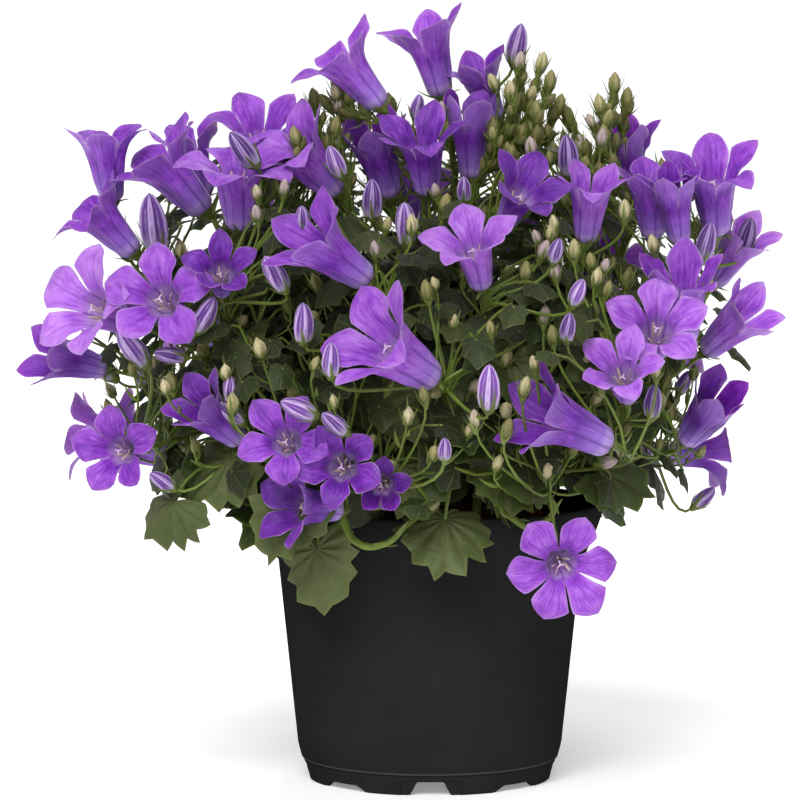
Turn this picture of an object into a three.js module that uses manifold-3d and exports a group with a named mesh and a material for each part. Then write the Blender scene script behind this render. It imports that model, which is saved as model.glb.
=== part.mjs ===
// A cushion bellflower in a black nursery pot: a dense dome of violet bells, striped buds and
// toothed heart-shaped leaves on leafy stems that stand in the soil.
// Millimetres, +Z up, front towards -Y. The origin is the middle of the flat pad under the pot.
import * as THREE from "three";
import { mergeVertices } from "three/addons/utils/BufferGeometryUtils.js";
import Module from "manifold-3d";

const wasm = await Module();
wasm.setup();

// Pot, from a 12 cm nursery pot whose collar flares to its rim
const POT_HEIGHT = 94;
const RIM_RADIUS = 58.5;
const COLLAR_DROP = 18.5;
const COLLAR_BOTTOM_RADIUS = 51.6;
const COLLAR_SWELL_RADIUS = 56.4;
const COLLAR_SWELL_DROP = 9.5;
const BODY_TOP_RADIUS = 50.6;
const BODY_FOOT_RADIUS = 43.4;
const FOOT_RADIUS = 40.8;
const FOOT_HEIGHT = 7;
const POT_WALL = 1.6;
const PLATE_UNDERSIDE = 5;
const PLATE_TOP = 7;
const PAD_RADIUS = 12;
const POT_SIDES = 24;
const NOTCH_COUNT = 8;
const NOTCH_WIDTH = 13;
const NOTCH_HEIGHT = 4.6;
const DRAIN_COUNT = 6;
const DRAIN_RADIUS = 3.2;
const DRAIN_RING = 26;

// Soil
const SOIL_LEVEL = 87;
const SOIL_SIDES = 16;
const SOIL_BUMP = 1.2;
const CLEARANCE = 0.35;

// Bell of one bloom at size 1
const BELL_LENGTH = 19;
const BELL_FOOT_RADIUS = 4.9;
const BELL_FOOT_RISE = 2.2;
const THROAT_RADIUS = 6.7;
const THROAT_DEPTH = 13;
const LOBE_LENGTH = 13.6;
const LOBE_HALF_WIDTH = 5.6;
const TIP_FLARE = 8;
const PETAL_WALL = 1.1;

// Calyx under each bell
const SEPALS = 5;
const SEPAL_REACH = 7.2;
const SEPAL_RISE = 2.6;
const CALYX_NOTCH = 2.3;
const CALYX_DEPTH = 2.4;

// Stems
const MAIN_STEM_RADIUS = 1.7;
const BLOOM_STEM_RADIUS = 0.95;
const BUD_STEM_RADIUS = 0.8;
const BUD_JOINTS = 8;
const LOWEST_BRANCH = 0.42;
const SMALL_BUD_SHARE = 0.2;
const SIDE_LEAF_SHARE = 0.2;
const SPIRE_BUDS = 3;
const LEAF_TURNS = 12;
const LEAF_ROOT = 0.07;
const MAIN_STEPS = 4;
const SIDE_STEPS = 2;
const STEM_FOOT_DEPTH = 10;
const STEM_FOOT_RISE = 3;
const HUB_REACH = 60;
const HUB_RISE = 6;
const FOOT_PULL = 20;
const HUB_PULL = 16;
const ARCH_MARGIN = 9.5;
const ARCH_BELOW = 18;
const ARCH_RISE = 24;
const ARCH_DROP = 16;

// Buds
const BUD_SLENDERNESS = 0.34;
const BUD_EXTRA_WIDTH = 1.2;
const BUD_LEAN_FORWARD = 0.35;
const BUD_ASIDE = 19;
const BUD_BEHIND = 6;
const BUD_ROOM = 18;
const SPIRE_BUD_LENGTH = 8;
const SPIRE_BUD_WIDTH = 3.6;

// Leaf blade
const BLADE_RISE = 1.4;
const BLADE_UNDER = 0.4;

// The cushion, from which the blooms of the hidden side and the direction of every stem are worked out
const CROWN = new THREE.Vector3(-6, 0, 96);
const CUSHION_CENTRE = new THREE.Vector3(-8, 0, 116);
const CUSHION_HALF_WIDTH = 108;
const CUSHION_HALF_DEPTH = 98;
const CUSHION_RISE = 86;
const GOLDEN_RATIO = (Math.sqrt(5) - 1) / 2;
const GOLDEN_ANGLE = 2 * Math.PI * (1 - GOLDEN_RATIO);
const SEED = 4711;

// Blooms of the hidden side: how many places are tried, how far apart the blooms stand, the depth at
// which that side begins, and how widely their petals may open
const HIDDEN_TRIES = 110;
const HIDDEN_SPACING = 33;
const HIDDEN_FROM = 4;
const HIDDEN_LOWEST = -0.16;
const HIDDEN_HEIGHTS = 1.12;
const HIDDEN_FLARES = [24, 42, 50, 60];

// Edges shorter than this are smoothed away where pieces are joined
const TIDY = 0.05;

// Blooms of the side that faces forward, each with the place of its throat, across, in depth and up,
// the way it faces, as a turn to the right and a rise, the angle at which one petal points in the
// front view, its size, and how far its petals open from the bell's own direction. Angles are in degrees.
const FRONT_BLOOMS = [
  [-28, -25, 242, -75, 50, 198, 1.0, 42],
  [-2, 5, 251, -60, 72, 43, 1.0, 32],
  [17, 5, 236, -60, 65, 167, 0.8, 24],
  [-108, -10, 213, -40, 82, 288, 0.95, 32],
  [-110, -22, 192, -80, 48, 209, 0.95, 44],
  [-88, -18, 208, -80, 50, 206, 1.1, 35],
  [-81, 15, 212, -60, 72, 185, 0.9, 28],
  [-63, -38, 207, 0, 72, 179, 1.1, 55],
  [-57, -11, 219, 0, 60, 101, 0.95, 40],
  [-43, -32, 213, -60, 45, 144, 1.05, 34],
  [-18, -12, 213, -40, 65, 120, 0.95, 22],
  [-3, -32, 215, -15, 65, 242, 0.95, 24],
  [13, -18, 221, -10, 78, 108, 0.95, 6],
  [30, -55, 201, 30, 42, 5, 0.85, 40],
  [13, -80, 185, -20, 42, 157, 0.9, 56],
  [52, -45, 199, 15, 72, 72, 0.85, 14],
  [66, 2, 212, -15, 70, 133, 0.9, 10],
  [73, -26, 200, -10, 74, 67, 0.9, 20],
  [80, -38, 198, -25, 72, 100, 0.85, 10],
  [94, -20, 203, -10, 62, 149, 1.1, 28],
  [104, 3, 180, 50, 52, 12, 0.9, 26],
  [103, -18, 156, 50, 38, 52, 0.95, 20],
  [92, -42, 129, 35, 42, 34, 0.95, 28],
  [82, -52, 169, -10, 64, 134, 1.05, 22],
  [73, -70, 158, 0, 35, 90, 0.9, 56],
  [61, -84, 145, -12, 40, 135, 0.82, 40],
  [38, -92, 130, -50, 22, 87, 1.15, 42],
  [42, -84, 82, 5, -5, 70, 0.85, 62],
  [-103, -42, 115, -20, 0, 100, 0.82, 58],
  [-124, -8, 143, -65, 15, 151, 0.9, 24],
  [-112, -48, 163, -40, 18, 150, 1.05, 54],
  [-88, -62, 167, -15, 18, 161, 0.95, 54],
  [-68, -66, 176, 0, 35, 159, 0.72, 38],
  [-35, -80, 185, -60, 35, 218, 1.1, 26],
  [-15, -96, 154, -52, 30, 127, 1.25, 34],
  [-73, -62, 130, -55, 38, 165, 0.9, 18],
  [-47, -84, 123, -12, 20, 127, 0.8, 52],
  [-43, -78, 101, -55, 8, 162, 0.9, 42],
  [-29, -88, 115, -8, 10, 188, 0.8, 50],
  [-16, -83, 108, 0, -5, 159, 0.62, 42],
];
const SIX_PETALLED = 27;

// Striped buds of the same side: place of the base, the lean in the front view and the length
const FRONT_BUDS = [
  [28, -2, 241, 80, 15],
  [-57, -45, 209, 127, 15],
  [-29, -38, 205, 113, 12],
  [-90, -25, 179, 98, 22],
  [-5, -5, 223, 80, 9],
  [11, -40, 197, 93, 9],
  [-19, -50, 192, 91, 14],
  [-8, -60, 184, 93, 15],
  [46, -35, 205, 98, 15],
  [-41, -70, 189, 95, 9],
  [-47, -72, 170, 120, 14],
  [-41, -82, 154, 90, 14],
  [-76, -62, 156, 63, 14],
  [-32, -92, 144, 90, 12],
  [-93, -48, 144, 127, 16],
  [-80, -55, 147, 170, 11],
  [90, -30, 177, 80, 14],
  [105, 0, 177, 78, 14],
  [39, -75, 179, 76, 9],
  [45, -85, 166, 70, 10],
  [43, -88, 155, 85, 10],
  [18, -100, 134, 90, 16],
  [4, -100, 118, 90, 8],
  [71, -72, 129, 86, 12],
  [-61, -60, 126, 142, 13],
  [-37, -88, 131, 155, 13],
  [-27, -92, 126, 140, 11],
  [-65, -68, 134, 90, 9],
  [-84, -55, 104, 145, 10],
];

// Spires of small green buds that stand above the blooms: place of the top and the lean
const SPIRES = [
  [36, -10, 238, 75],
  [61, -8, 231, 85],
  [-31, -18, 232, 95],
];

// Large leaves: place of the blade's middle, facing as a turn and a rise, the angle of its tip in the
// front view, and its length
const LARGE_LEAVES = [
  [-90, -50, 93, -35, 20, 215, 23],
  [-49, -72, 90, -25, 25, 250, 25],
  [-36, -61, 75, -20, 8, 278, 24],
  [3, -70, 85, 5, 38, 265, 33],
  [64, -58, 106, 30, 30, 350, 24],
  [-74, -50, 108, -40, 30, 190, 30],
  [-8, -70, 128, 0, 20, 250, 26],
  [-6, -66, 104, 10, 25, 290, 24],
  [31, -62, 154, 0, 30, 60, 26],
  [57, -64, 152, 20, 30, 20, 24],
  [28, -66, 104, 20, 40, 300, 22],
];

// Leafy stems in three rings: how many, how steeply they rise and where they stand in the soil
const STEM_RINGS = [
  { count: 3, rise: 68, footRadius: 9, turn: 20 },
  { count: 5, rise: 36, footRadius: 23, turn: 0 },
  { count: 5, rise: 6, footRadius: 36, turn: 36 },
];

const radians = THREE.MathUtils.degToRad;
const vector = (x, y, z) => new THREE.Vector3(x, y, z);
const UP = vector(0, 0, 1);

// Repeatable draws between 0 and 1, so that the same plant grows each time
function makeDraw(seed) {
  let state = seed;
  return () => {
    state = (state * 1664525 + 1013904223) % 4294967296;
    return state / 4294967296;
  };
}

// The direction that turns to the right of the front by yaw and rises by pitch
function facing(yaw, pitch) {
  const turn = radians(yaw);
  const rise = radians(pitch);
  return vector(Math.cos(rise) * Math.sin(turn), -Math.cos(rise) * Math.cos(turn), Math.sin(rise));
}

// A frame whose Z is the axis and whose X is the view direction of the given angle, laid square to it
function frameAlong(axis, viewAngle) {
  const angle = radians(viewAngle);
  const pointing = vector(Math.cos(angle), 0, Math.sin(angle));
  const across = pointing.clone().addScaledVector(axis, -pointing.dot(axis)).normalize();
  return { x: across, y: axis.clone().cross(across), z: axis };
}

function placed(frame, origin) {
  return new THREE.Matrix4().makeBasis(frame.x, frame.y, frame.z).setPosition(origin);
}

// Layout of the plant

function frontBlooms() {
  return FRONT_BLOOMS.map(([x, y, z, yaw, pitch, petalAngle, size, flare], index) => ({
    throat: vector(x, y, z),
    axis: facing(yaw, pitch),
    petalAngle,
    size,
    flare,
    petals: index === SIX_PETALLED ? 6 : 5,
  }));
}

// Blooms on the hidden side stand on the cushion by the golden angle, clear of those before them
function hiddenBlooms(taken, draw) {
  const made = [];
  for (let i = 0; i < HIDDEN_TRIES; i += 1) {
    const turn = i * GOLDEN_ANGLE;
    const rise = Math.asin(HIDDEN_LOWEST + (HIDDEN_HEIGHTS * (i + 0.5)) / HIDDEN_TRIES);
    const throat = vector(
      CUSHION_CENTRE.x + CUSHION_HALF_WIDTH * Math.cos(rise) * Math.sin(turn),
      CUSHION_CENTRE.y - CUSHION_HALF_DEPTH * Math.cos(rise) * Math.cos(turn),
      CUSHION_CENTRE.z + CUSHION_RISE * Math.sin(rise),
    );
    const near = [...taken, ...made].some((other) => other.throat.distanceTo(throat) < HIDDEN_SPACING);
    if (near || throat.y < HIDDEN_FROM) continue;
    made.push({
      throat,
      axis: facing(THREE.MathUtils.radToDeg(turn), 0.75 * THREE.MathUtils.radToDeg(rise) + 6 + 18 * draw()),
      petalAngle: 360 * draw(),
      size: 0.8 + 0.3 * draw(),
      flare: HIDDEN_FLARES[Math.floor(HIDDEN_FLARES.length * draw())],
      petals: 5,
    });
  }
  return made;
}

function frontBuds() {
  return FRONT_BUDS.map(([x, y, z, lean, length]) => {
    const angle = radians(lean);
    const axis = vector(Math.cos(angle), -BUD_LEAN_FORWARD, Math.sin(angle)).normalize();
    return { base: vector(x, y, z), axis, length, width: budWidth(length) };
  });
}

function budWidth(length) {
  return BUD_SLENDERNESS * length + BUD_EXTRA_WIDTH;
}

// Each bloom of the hidden side has a striped bud beside it
function hiddenBuds(blooms, taken, draw) {
  const made = [];
  blooms.forEach((bloom) => {
    const side = frameAlong(bloom.axis, 360 * draw());
    const beside = bloom.throat.clone().addScaledVector(side.x, BUD_ASIDE);
    const base = beside.addScaledVector(bloom.axis, -BUD_BEHIND);
    const length = 9 + 6 * draw();
    if (taken.some((other) => other.throat.distanceTo(base) < BUD_ROOM)) return;
    const axis = bloom.axis.clone().addScaledVector(UP, 0.8).normalize();
    made.push({ base, axis, length, width: budWidth(length) });
  });
  return made;
}

function stemPlan() {
  const plan = [];
  STEM_RINGS.forEach(({ count, rise, footRadius, turn }) => {
    for (let i = 0; i < count; i += 1) {
      const yaw = turn + (360 * i) / count;
      const direction = facing(yaw, rise);
      const flat = facing(yaw, 0);
      const foot = vector(CROWN.x + flat.x * footRadius, flat.y * footRadius, SOIL_LEVEL);
      const hub = CROWN.clone().addScaledVector(direction, HUB_REACH).addScaledVector(UP, HUB_RISE);
      const places = mainPath(foot, hub, direction).getPoints(MAIN_STEPS);
      plan.push({ direction, foot, places, branches: 0 });
    }
  });
  return plan;
}

function mainPath(foot, hub, direction) {
  return new THREE.CubicBezierCurve3(
    foot.clone().addScaledVector(UP, STEM_FOOT_RISE),
    foot.clone().addScaledVector(UP, FOOT_PULL),
    hub.clone().addScaledVector(direction, -HUB_PULL),
    hub,
  );
}

// A place on a row of straight stretches, and the direction there
function pointOn(places, share) {
  const steps = places.length - 1;
  const step = Math.min(Math.floor(share * steps), steps - 1);
  return places[step].clone().lerp(places[step + 1], share * steps - step);
}

function directionOn(places, share) {
  const steps = places.length - 1;
  const step = Math.min(Math.floor(share * steps), steps - 1);
  return places[step + 1].clone().sub(places[step]).normalize();
}

// Side stems leave a main stem one after another, spread over its upper part by the golden ratio
function nextBranch(stem) {
  stem.branches += 1;
  return LOWEST_BRANCH + (1 - LOWEST_BRANCH) * ((stem.branches * GOLDEN_RATIO) % 1);
}

const allPlaces = [];

// A side stem leaves its main stem sideways and arrives along the end's own direction. One that ends
// low and outside arches over the pot's rim first.
function sidePlaces(stem, end, arrival) {
  const places = sideCurve(stem, end, arrival).getPoints(SIDE_STEPS);
  allPlaces.push(places);
  return places;
}

function sideCurve(stem, end, arrival) {
  const start = pointOn(stem.places, nextBranch(stem));
  const reach = start.distanceTo(end);
  const outside = Math.hypot(end.x, end.y) > RIM_RADIUS - ARCH_MARGIN;
  if (outside && end.z < POT_HEIGHT + ARCH_BELOW) {
    const high = POT_HEIGHT + ARCH_RISE;
    const first = start.clone().lerp(end, 0.35).setZ(high);
    const second = start.clone().lerp(end, 0.9).setZ(Math.max(high, end.z + ARCH_DROP));
    return new THREE.CubicBezierCurve3(start, first, second, end);
  }
  return new THREE.CubicBezierCurve3(
    start,
    start.clone().lerp(end, 0.3).addScaledVector(stem.direction, 0.08 * reach),
    end.clone().addScaledVector(arrival, -0.35 * reach),
    end,
  );
}

// The stem whose direction from the crown is nearest to a place
function stemFor(stems, place) {
  const toward = place.clone().sub(CROWN).normalize();
  let best = 0;
  stems.forEach((stem, index) => {
    if (stem.direction.dot(toward) > stems[best].direction.dot(toward)) best = index;
  });
  return best;
}

// Closed shapes, made into solids

function solidFrom(geometry) {
  const bare = new THREE.BufferGeometry();
  bare.setAttribute("position", geometry.getAttribute("position"));
  if (geometry.index) bare.setIndex(geometry.index);
  const merged = mergeVertices(bare, 1e-4);
  return new wasm.Manifold(
    new wasm.Mesh({
      numProp: 3,
      vertProperties: new Float32Array(merged.getAttribute("position").array),
      triVerts: new Uint32Array(merged.index.array),
    }),
  );
}

function facetSolid(points, faces, matrix) {
  const geometry = new THREE.BufferGeometry().setFromPoints(points);
  geometry.setIndex(faces.flat());
  geometry.applyMatrix4(matrix);
  return solidFrom(geometry);
}

// A point at an angle round the axis
function around(angle, radius, height) {
  return vector(radius * Math.cos(angle), radius * Math.sin(angle), height);
}

// Triangles between two rings that start at the same angle and may differ in how many points they have
function zip(lower, upper) {
  const faces = [];
  let i = 0;
  let j = 0;
  const [m, n] = [lower.length, upper.length];
  while (i < m || j < n) {
    const here = lower[i % m];
    const above = upper[j % n];
    if (j >= n || (i < m && (i + 1) / m <= (j + 1) / n)) {
      if (m > 1) faces.push([here, lower[(i + 1) % m], above]);
      i += 1;
    } else {
      if (n > 1) faces.push([here, upper[(j + 1) % n], above]);
      j += 1;
    }
  }
  return faces;
}

// A closed skin over a row of rings that run the same way round. A ring of one point closes to a tip,
// and an end ring of three or more is filled flat.
function skin(rings) {
  const points = rings.flat();
  const numbered = [];
  let next = 0;
  rings.forEach((ring) => {
    numbered.push(ring.map((point, i) => next + i));
    next += ring.length;
  });
  const faces = numbered.slice(1).flatMap((upper, i) => zip(numbered[i], upper));
  const fill = (ring) => ring.slice(2).map((point, i) => [ring[0], ring[i + 1], point]);
  faces.push(...fill(numbered[0]).map(([a, b, c]) => [a, c, b]), ...fill(numbered.at(-1)));
  return facetSolid(points, faces, new THREE.Matrix4());
}

// Rings of a stalk along the given places. They keep the turn of the frame at the far end.
function stalkRings(places, radius, sides, endFrame) {
  const rings = [];
  let across = endFrame.x.clone();
  for (let i = places.length - 1; i >= 0; i -= 1) {
    const before = places[Math.max(i - 1, 0)];
    const after = places[Math.min(i + 1, places.length - 1)];
    const tangent = i === places.length - 1 ? endFrame.z : after.clone().sub(before).normalize();
    across = across.addScaledVector(tangent, -across.dot(tangent)).normalize();
    const matrix = placed({ x: across, y: tangent.clone().cross(across), z: tangent }, places[i]);
    const ring = [];
    for (let k = 0; k < sides; k += 1) {
      ring.push(around((2 * Math.PI * k) / sides, radius, 0).applyMatrix4(matrix));
    }
    rings.unshift(ring);
  }
  return rings;
}

// A ring of points whose radius and height may alternate, in the frame at the given origin
function headRing(frame, origin, count, radii, heights) {
  const matrix = placed(frame, origin);
  const ring = [];
  for (let k = 0; k < count; k += 1) {
    const point = around((2 * Math.PI * k) / count, radii[k % radii.length], heights[k % heights.length]);
    ring.push(point.applyMatrix4(matrix));
  }
  return ring;
}

// One bell: a cup that widens from a rounded foot to its throat, and pointed petals round the throat.
// The petals and the cup have a wall that thins to an edge.
function bloomSolid(bloom, grow = 0) {
  const { size, petals, axis, petalAngle } = bloom;
  const flare = radians(bloom.flare);
  const tipFlare = radians(bloom.flare + TIP_FLARE);
  const half = Math.PI / petals;
  const height = BELL_LENGTH * size;
  const footRadius = BELL_FOOT_RADIUS * size + grow;
  const throatRadius = THROAT_RADIUS * size;
  const lobe = LOBE_LENGTH * size;
  const middle = 0.5 * lobe;
  const shoulder = 0.42 * lobe;
  const halfWidth = LOBE_HALF_WIDTH * size + grow;
  const wall = PETAL_WALL / 2 + grow;
  const points = [vector(0, 0, -grow), vector(0, 0, height - THROAT_DEPTH * size)];
  const faces = [];
  const foot = [...Array(petals).keys()].map((j) => 2 + j);
  const lobes = 2 + petals;
  const perLobe = 8;
  const [MID, SINUS, OUT, IN, LEFT, RIGHT, TIP, INNER] = [0, 1, 2, 3, 4, 5, 6, 7];
  for (let j = 0; j < petals; j += 1) points.push(around(2 * j * half, footRadius, BELL_FOOT_RISE * size));
  for (let k = 0; k < petals; k += 1) {
    const angle = 2 * k * half;
    const lobePoint = (distance, lean, offset) =>
      around(
        angle,
        throatRadius + distance * Math.sin(lean) + offset * Math.cos(lean),
        height + distance * Math.cos(lean) - offset * Math.sin(lean),
      );
    const side = (sign) =>
      lobePoint(shoulder, flare, -0.06 * lobe).add(around(angle + (sign * Math.PI) / 2, halfWidth, 0));
    points.push(
      around(angle, throatRadius + grow, height),
      around(angle + half, throatRadius * 0.98, height + 0.05 * lobe),
      lobePoint(middle, flare, wall),
      lobePoint(middle, flare, -wall),
      side(-1),
      side(1),
      lobePoint(lobe + grow, tipFlare, 0),
      around(angle, throatRadius - PETAL_WALL - grow, height + 0.3),
    );
  }
  const at = (k, part) => lobes + perLobe * ((k + petals) % petals) + part;
  const rim = foot.flatMap((point, k) => [at(k, MID), at(k, SINUS)]);
  const innerRim = foot.flatMap((point, k) => [at(k, INNER), at(k, SINUS)]);
  faces.push(...zip([0], foot), ...zip(foot, rim), ...zip(innerRim, [1]));
  for (let k = 0; k < petals; k += 1) {
    const edge = [at(k, SINUS), at(k, RIGHT), at(k, TIP), at(k, LEFT), at(k - 1, SINUS)];
    const outer = [at(k - 1, SINUS), at(k, MID), ...edge];
    const inner = [at(k - 1, SINUS), at(k, INNER), ...edge];
    for (let i = 0; i < outer.length - 1; i += 1) {
      faces.push([at(k, OUT), outer[i], outer[i + 1]]);
      faces.push([at(k, IN), inner[i + 1], inner[i]]);
    }
  }
  return facetSolid(points, faces, placed(frameAlong(axis, petalAngle), bloomBase(bloom)));
}

function bloomBase(bloom) {
  return bloom.throat.clone().addScaledVector(bloom.axis, -BELL_LENGTH * bloom.size);
}

// The stalk of a bloom, which opens at its end into a green star of sepals just under the bell
function bloomStalk(bloom, places, grow) {
  const base = bloomBase(bloom);
  const frame = frameAlong(bloom.axis, bloom.petalAngle + 180 / SEPALS);
  const reach = SEPAL_REACH * bloom.size + grow;
  return skin([
    ...stalkRings(places, BLOOM_STEM_RADIUS + grow, 3, frame),
    headRing(frame, base, 2 * SEPALS, [reach, CALYX_NOTCH + grow], [SEPAL_RISE * bloom.size, -0.7]),
    [base.clone().addScaledVector(bloom.axis, -CLEARANCE + grow)],
  ]);
}

// A five-sided pointed bud on the rings of its stalk
function budSkin(stalk, { base, axis, length, width }, grow) {
  const frame = frameAlong(axis, 30);
  return skin([
    ...stalk,
    headRing(frame, base, 5, [0.36 * width + grow], [0.06 * length]),
    headRing(frame, base, 5, [0.5 * width + grow], [0.5 * length]),
    [base.clone().addScaledVector(axis, length + grow)],
  ]);
}

function budStalk(bud, places, grow) {
  return budSkin(stalkRings(places, BUD_STEM_RADIUS + grow, 3, frameAlong(bud.axis, 30)), bud, grow);
}

// A small green bud that sits on a stem, widest at its middle
function smallBud({ base, axis, length, width }, grow) {
  const frame = frameAlong(axis, 30);
  return skin([
    headRing(frame, base, 3, [0.2 * width + grow], [-grow]),
    headRing(frame, base, 5, [0.5 * width + grow], [0.45 * length]),
    [base.clone().addScaledVector(axis, length + grow)],
  ]);
}

// Half outline of a toothed heart-shaped blade, from its tip to the notch where its stalk joins it,
// as shares of its length and of its width
const BLADE_OUTLINE = [
  [1, 0],
  [0.74, 0.2],
  [0.64, 0.4],
  [0.4, 0.4],
  [0.1, 0.52],
  [0.05, 0],
];
const LARGE_BLADE_OUTLINE = [
  [1, 0],
  [0.83, 0.16],
  [0.8, 0.3],
  [0.6, 0.34],
  [0.53, 0.48],
  [0.33, 0.45],
  [0.17, 0.55],
  [-0.05, 0.3],
  [0.05, 0],
];

// A thin blade that arches up to its midrib. Its frame's X runs from the stalk to the tip.
function leafSolid({ base, frame, length, large }, grow = 0) {
  const outline = large ? LARGE_BLADE_OUTLINE : BLADE_OUTLINE;
  const mirrored = outline.slice(1, -1).reverse();
  const loop = [...outline.map(([u, v]) => [u, v]), ...mirrored.map(([u, v]) => [u, -v])];
  const spread = length + 2 * grow;
  const points = [
    vector(0.4 * length, 0, BLADE_RISE + grow),
    vector(0.4 * length, 0, -BLADE_UNDER - grow),
    ...loop.map(([u, v]) => vector(u * spread - grow, v * spread, -0.08 * length * Math.abs(v))),
  ];
  const faces = [];
  loop.forEach((point, i) => {
    const here = 2 + i;
    const next = 2 + ((i + 1) % loop.length);
    faces.push([0, here, next], [1, next, here]);
  });
  return facetSolid(points, faces, placed(frame, base));
}

// Parts of the leafy stems. Each part knows its stem, the bloom that it carries, and the same shape
// grown by the clearance, which keeps the others off it.

function part(stem, make, bloom = -1) {
  return { stem, bloom, solid: make(0), grown: make(CLEARANCE) };
}

function mainStemParts(stems) {
  return stems.map((stem, index) =>
    part(index, (grow) => {
      const bottom = stem.foot.clone().setZ(SOIL_LEVEL - STEM_FOOT_DEPTH - grow);
      const frame = frameAlong(stem.direction, 90);
      return skin(stalkRings([bottom, ...stem.places], MAIN_STEM_RADIUS + grow, 4, frame));
    }),
  );
}

function bloomStemParts(stems, blooms, draw) {
  const parts = [];
  const smallBuds = [];
  const leafPlaces = [];
  const stalks = [];
  blooms.forEach((bloom, index) => {
    const base = bloomBase(bloom);
    const stem = stemFor(stems, base);
    const end = base.clone().addScaledVector(bloom.axis, -CALYX_DEPTH);
    const places = sidePlaces(stems[stem], end, bloom.axis);
    parts.push(part(stem, (grow) => bloomStalk(bloom, places, grow), index));
    stalks.push({ stem, places });
    const bud = sideBud(places, 0.62, 360 * draw(), 5.5 + 2.5 * draw());
    if (draw() < SMALL_BUD_SHARE) smallBuds.push({ stem, bud });
    const length = 18 + 8 * draw();
    if (draw() < SIDE_LEAF_SHARE) leafPlaces.push({ stem, places, share: 0.4, length });
  });
  return { parts, smallBuds, leafPlaces, stalks };
}

// A striped bud hangs on a short stalk from the nearest bloom's stalk
function budStemParts(buds, stalks) {
  return buds.map((bud) => {
    let best = null;
    stalks.forEach(({ stem, places }) => {
      for (let i = 1; i < BUD_JOINTS; i += 1) {
        const start = pointOn(places, i / BUD_JOINTS);
        const reach = start.distanceTo(bud.base) + (start.z > bud.base.z ? 20 : 0);
        if (!best || reach < best.reach) best = { stem, start, reach };
      }
    });
    return part(best.stem, (grow) => budStalk(bud, [best.start, bud.base], grow));
  });
}

// A spire: a stem that ends in a small green bud, with more of them up its last stretch
function spireParts(stems) {
  return SPIRES.flatMap(([x, y, z, lean]) => {
    const base = vector(x, y, z);
    const stem = stemFor(stems, base);
    const angle = radians(lean);
    const axis = vector(Math.cos(angle), -0.1, Math.sin(angle)).normalize();
    const places = sidePlaces(stems[stem], base, axis);
    const tip = { base, axis, length: SPIRE_BUD_LENGTH, width: SPIRE_BUD_WIDTH };
    const parts = [part(stem, (grow) => budStalk(tip, places, grow))];
    for (let i = 0; i < SPIRE_BUDS; i += 1) {
      const share = 0.6 + 0.16 * i;
      const bud = sideBud(places, share, 137 * i, 8 - 0.5 * i);
      parts.push(part(stem, (grow) => smallBud(bud, grow)));
    }
    return parts;
  });
}

// A small green bud that springs sideways and upwards from a stem
function sideBud(places, share, turn, length) {
  const tangent = directionOn(places, share);
  const out = frameAlong(tangent, 0).x.applyAxisAngle(tangent, radians(turn));
  const axis = out.add(tangent).addScaledVector(UP, 0.4).normalize();
  return { base: pointOn(places, share), axis, length, width: 0.5 * length };
}

function smallBudParts(smallBuds) {
  return smallBuds.map(({ stem, bud }) => part(stem, (grow) => smallBud(bud, grow)));
}

// A leaf springs from a stem in the turn in which the fewest other stems pass through its blade
function stemLeaf({ places, share, length }, others) {
  const place = pointOn(places, share);
  const tangent = directionOn(places, share);
  const outward = place.clone().sub(CROWN).setZ(0).normalize();
  let best = null;
  for (let turn = 0; turn < 360; turn += 360 / LEAF_TURNS) {
    const out = frameAlong(tangent, 0).x.applyAxisAngle(tangent, radians(turn));
    const reach = out.addScaledVector(outward, 0.6).addScaledVector(tangent, 0.4).normalize();
    const side = reach.clone().cross(tangent).normalize();
    const face = side.cross(reach).normalize();
    if (face.z < 0) face.negate();
    const frame = { x: reach, y: face.clone().cross(reach), z: face };
    const foreign = others.filter((row) => row !== places);
    const crossings = foreign.filter((row) => passesThrough(row, place, frame, length)).length;
    if (!best || crossings < best.crossings) best = { frame, crossings };
  }
  return { base: place.addScaledVector(best.frame.x, -LEAF_ROOT * length), frame: best.frame, length };
}

// Whether a row of stretches goes from one side of a blade to the other within its outline
function passesThrough(places, base, frame, length) {
  const local = places.map((point) => {
    const away = point.clone().sub(base);
    return vector(away.dot(frame.x) / length, away.dot(frame.y) / length, away.dot(frame.z));
  });
  return local.slice(1).some((after, i) => {
    const before = local[i];
    if (before.z * after.z >= 0) return false;
    const { x, y } = before.clone().lerp(after, before.z / (before.z - after.z));
    return x > -0.1 && x < 1.05 && Math.abs(y) < 0.6;
  });
}

function leafParts(stems, sideLeaves, draw) {
  const springs = [...sideLeaves];
  const others = [...allPlaces, ...stems.map((stem) => stem.places)];
  stems.forEach((stem, index) => {
    springs.push({ stem: index, places: stem.places, share: 0.6 + 0.3 * draw(), length: 21 + 7 * draw() });
  });
  return springs.map((spring) => {
    const leaf = stemLeaf(spring, others);
    return part(spring.stem, (grow) => leafSolid(leaf, grow));
  });
}

function largeLeafParts(stems) {
  return LARGE_LEAVES.map(([x, y, z, yaw, pitch, tipAngle, length]) => {
    const middle = vector(x, y, z);
    const frame = frameAlong(facing(yaw, pitch), tipAngle);
    const base = middle.clone().addScaledVector(frame.x, -0.45 * length);
    const stem = stemFor(stems, base);
    const end = base.clone().addScaledVector(frame.x, 0.09 * length);
    const places = sidePlaces(stems[stem], end, frame.x);
    const stalkFrame = { x: frame.y, y: frame.z, z: frame.x };
    return part(stem, (grow) =>
      leafSolid({ base, frame, length, large: true }, grow).add(
        skin(stalkRings(places, BUD_STEM_RADIUS + grow, 3, stalkFrame)),
      ),
    );
  });
}

// Fitting the pieces to each other

function boxesMeet(a, b) {
  const boxA = a.boundingBox();
  const boxB = b.boundingBox();
  return [0, 1, 2].every((i) => boxA.min[i] <= boxB.max[i] && boxB.min[i] <= boxA.max[i]);
}

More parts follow.
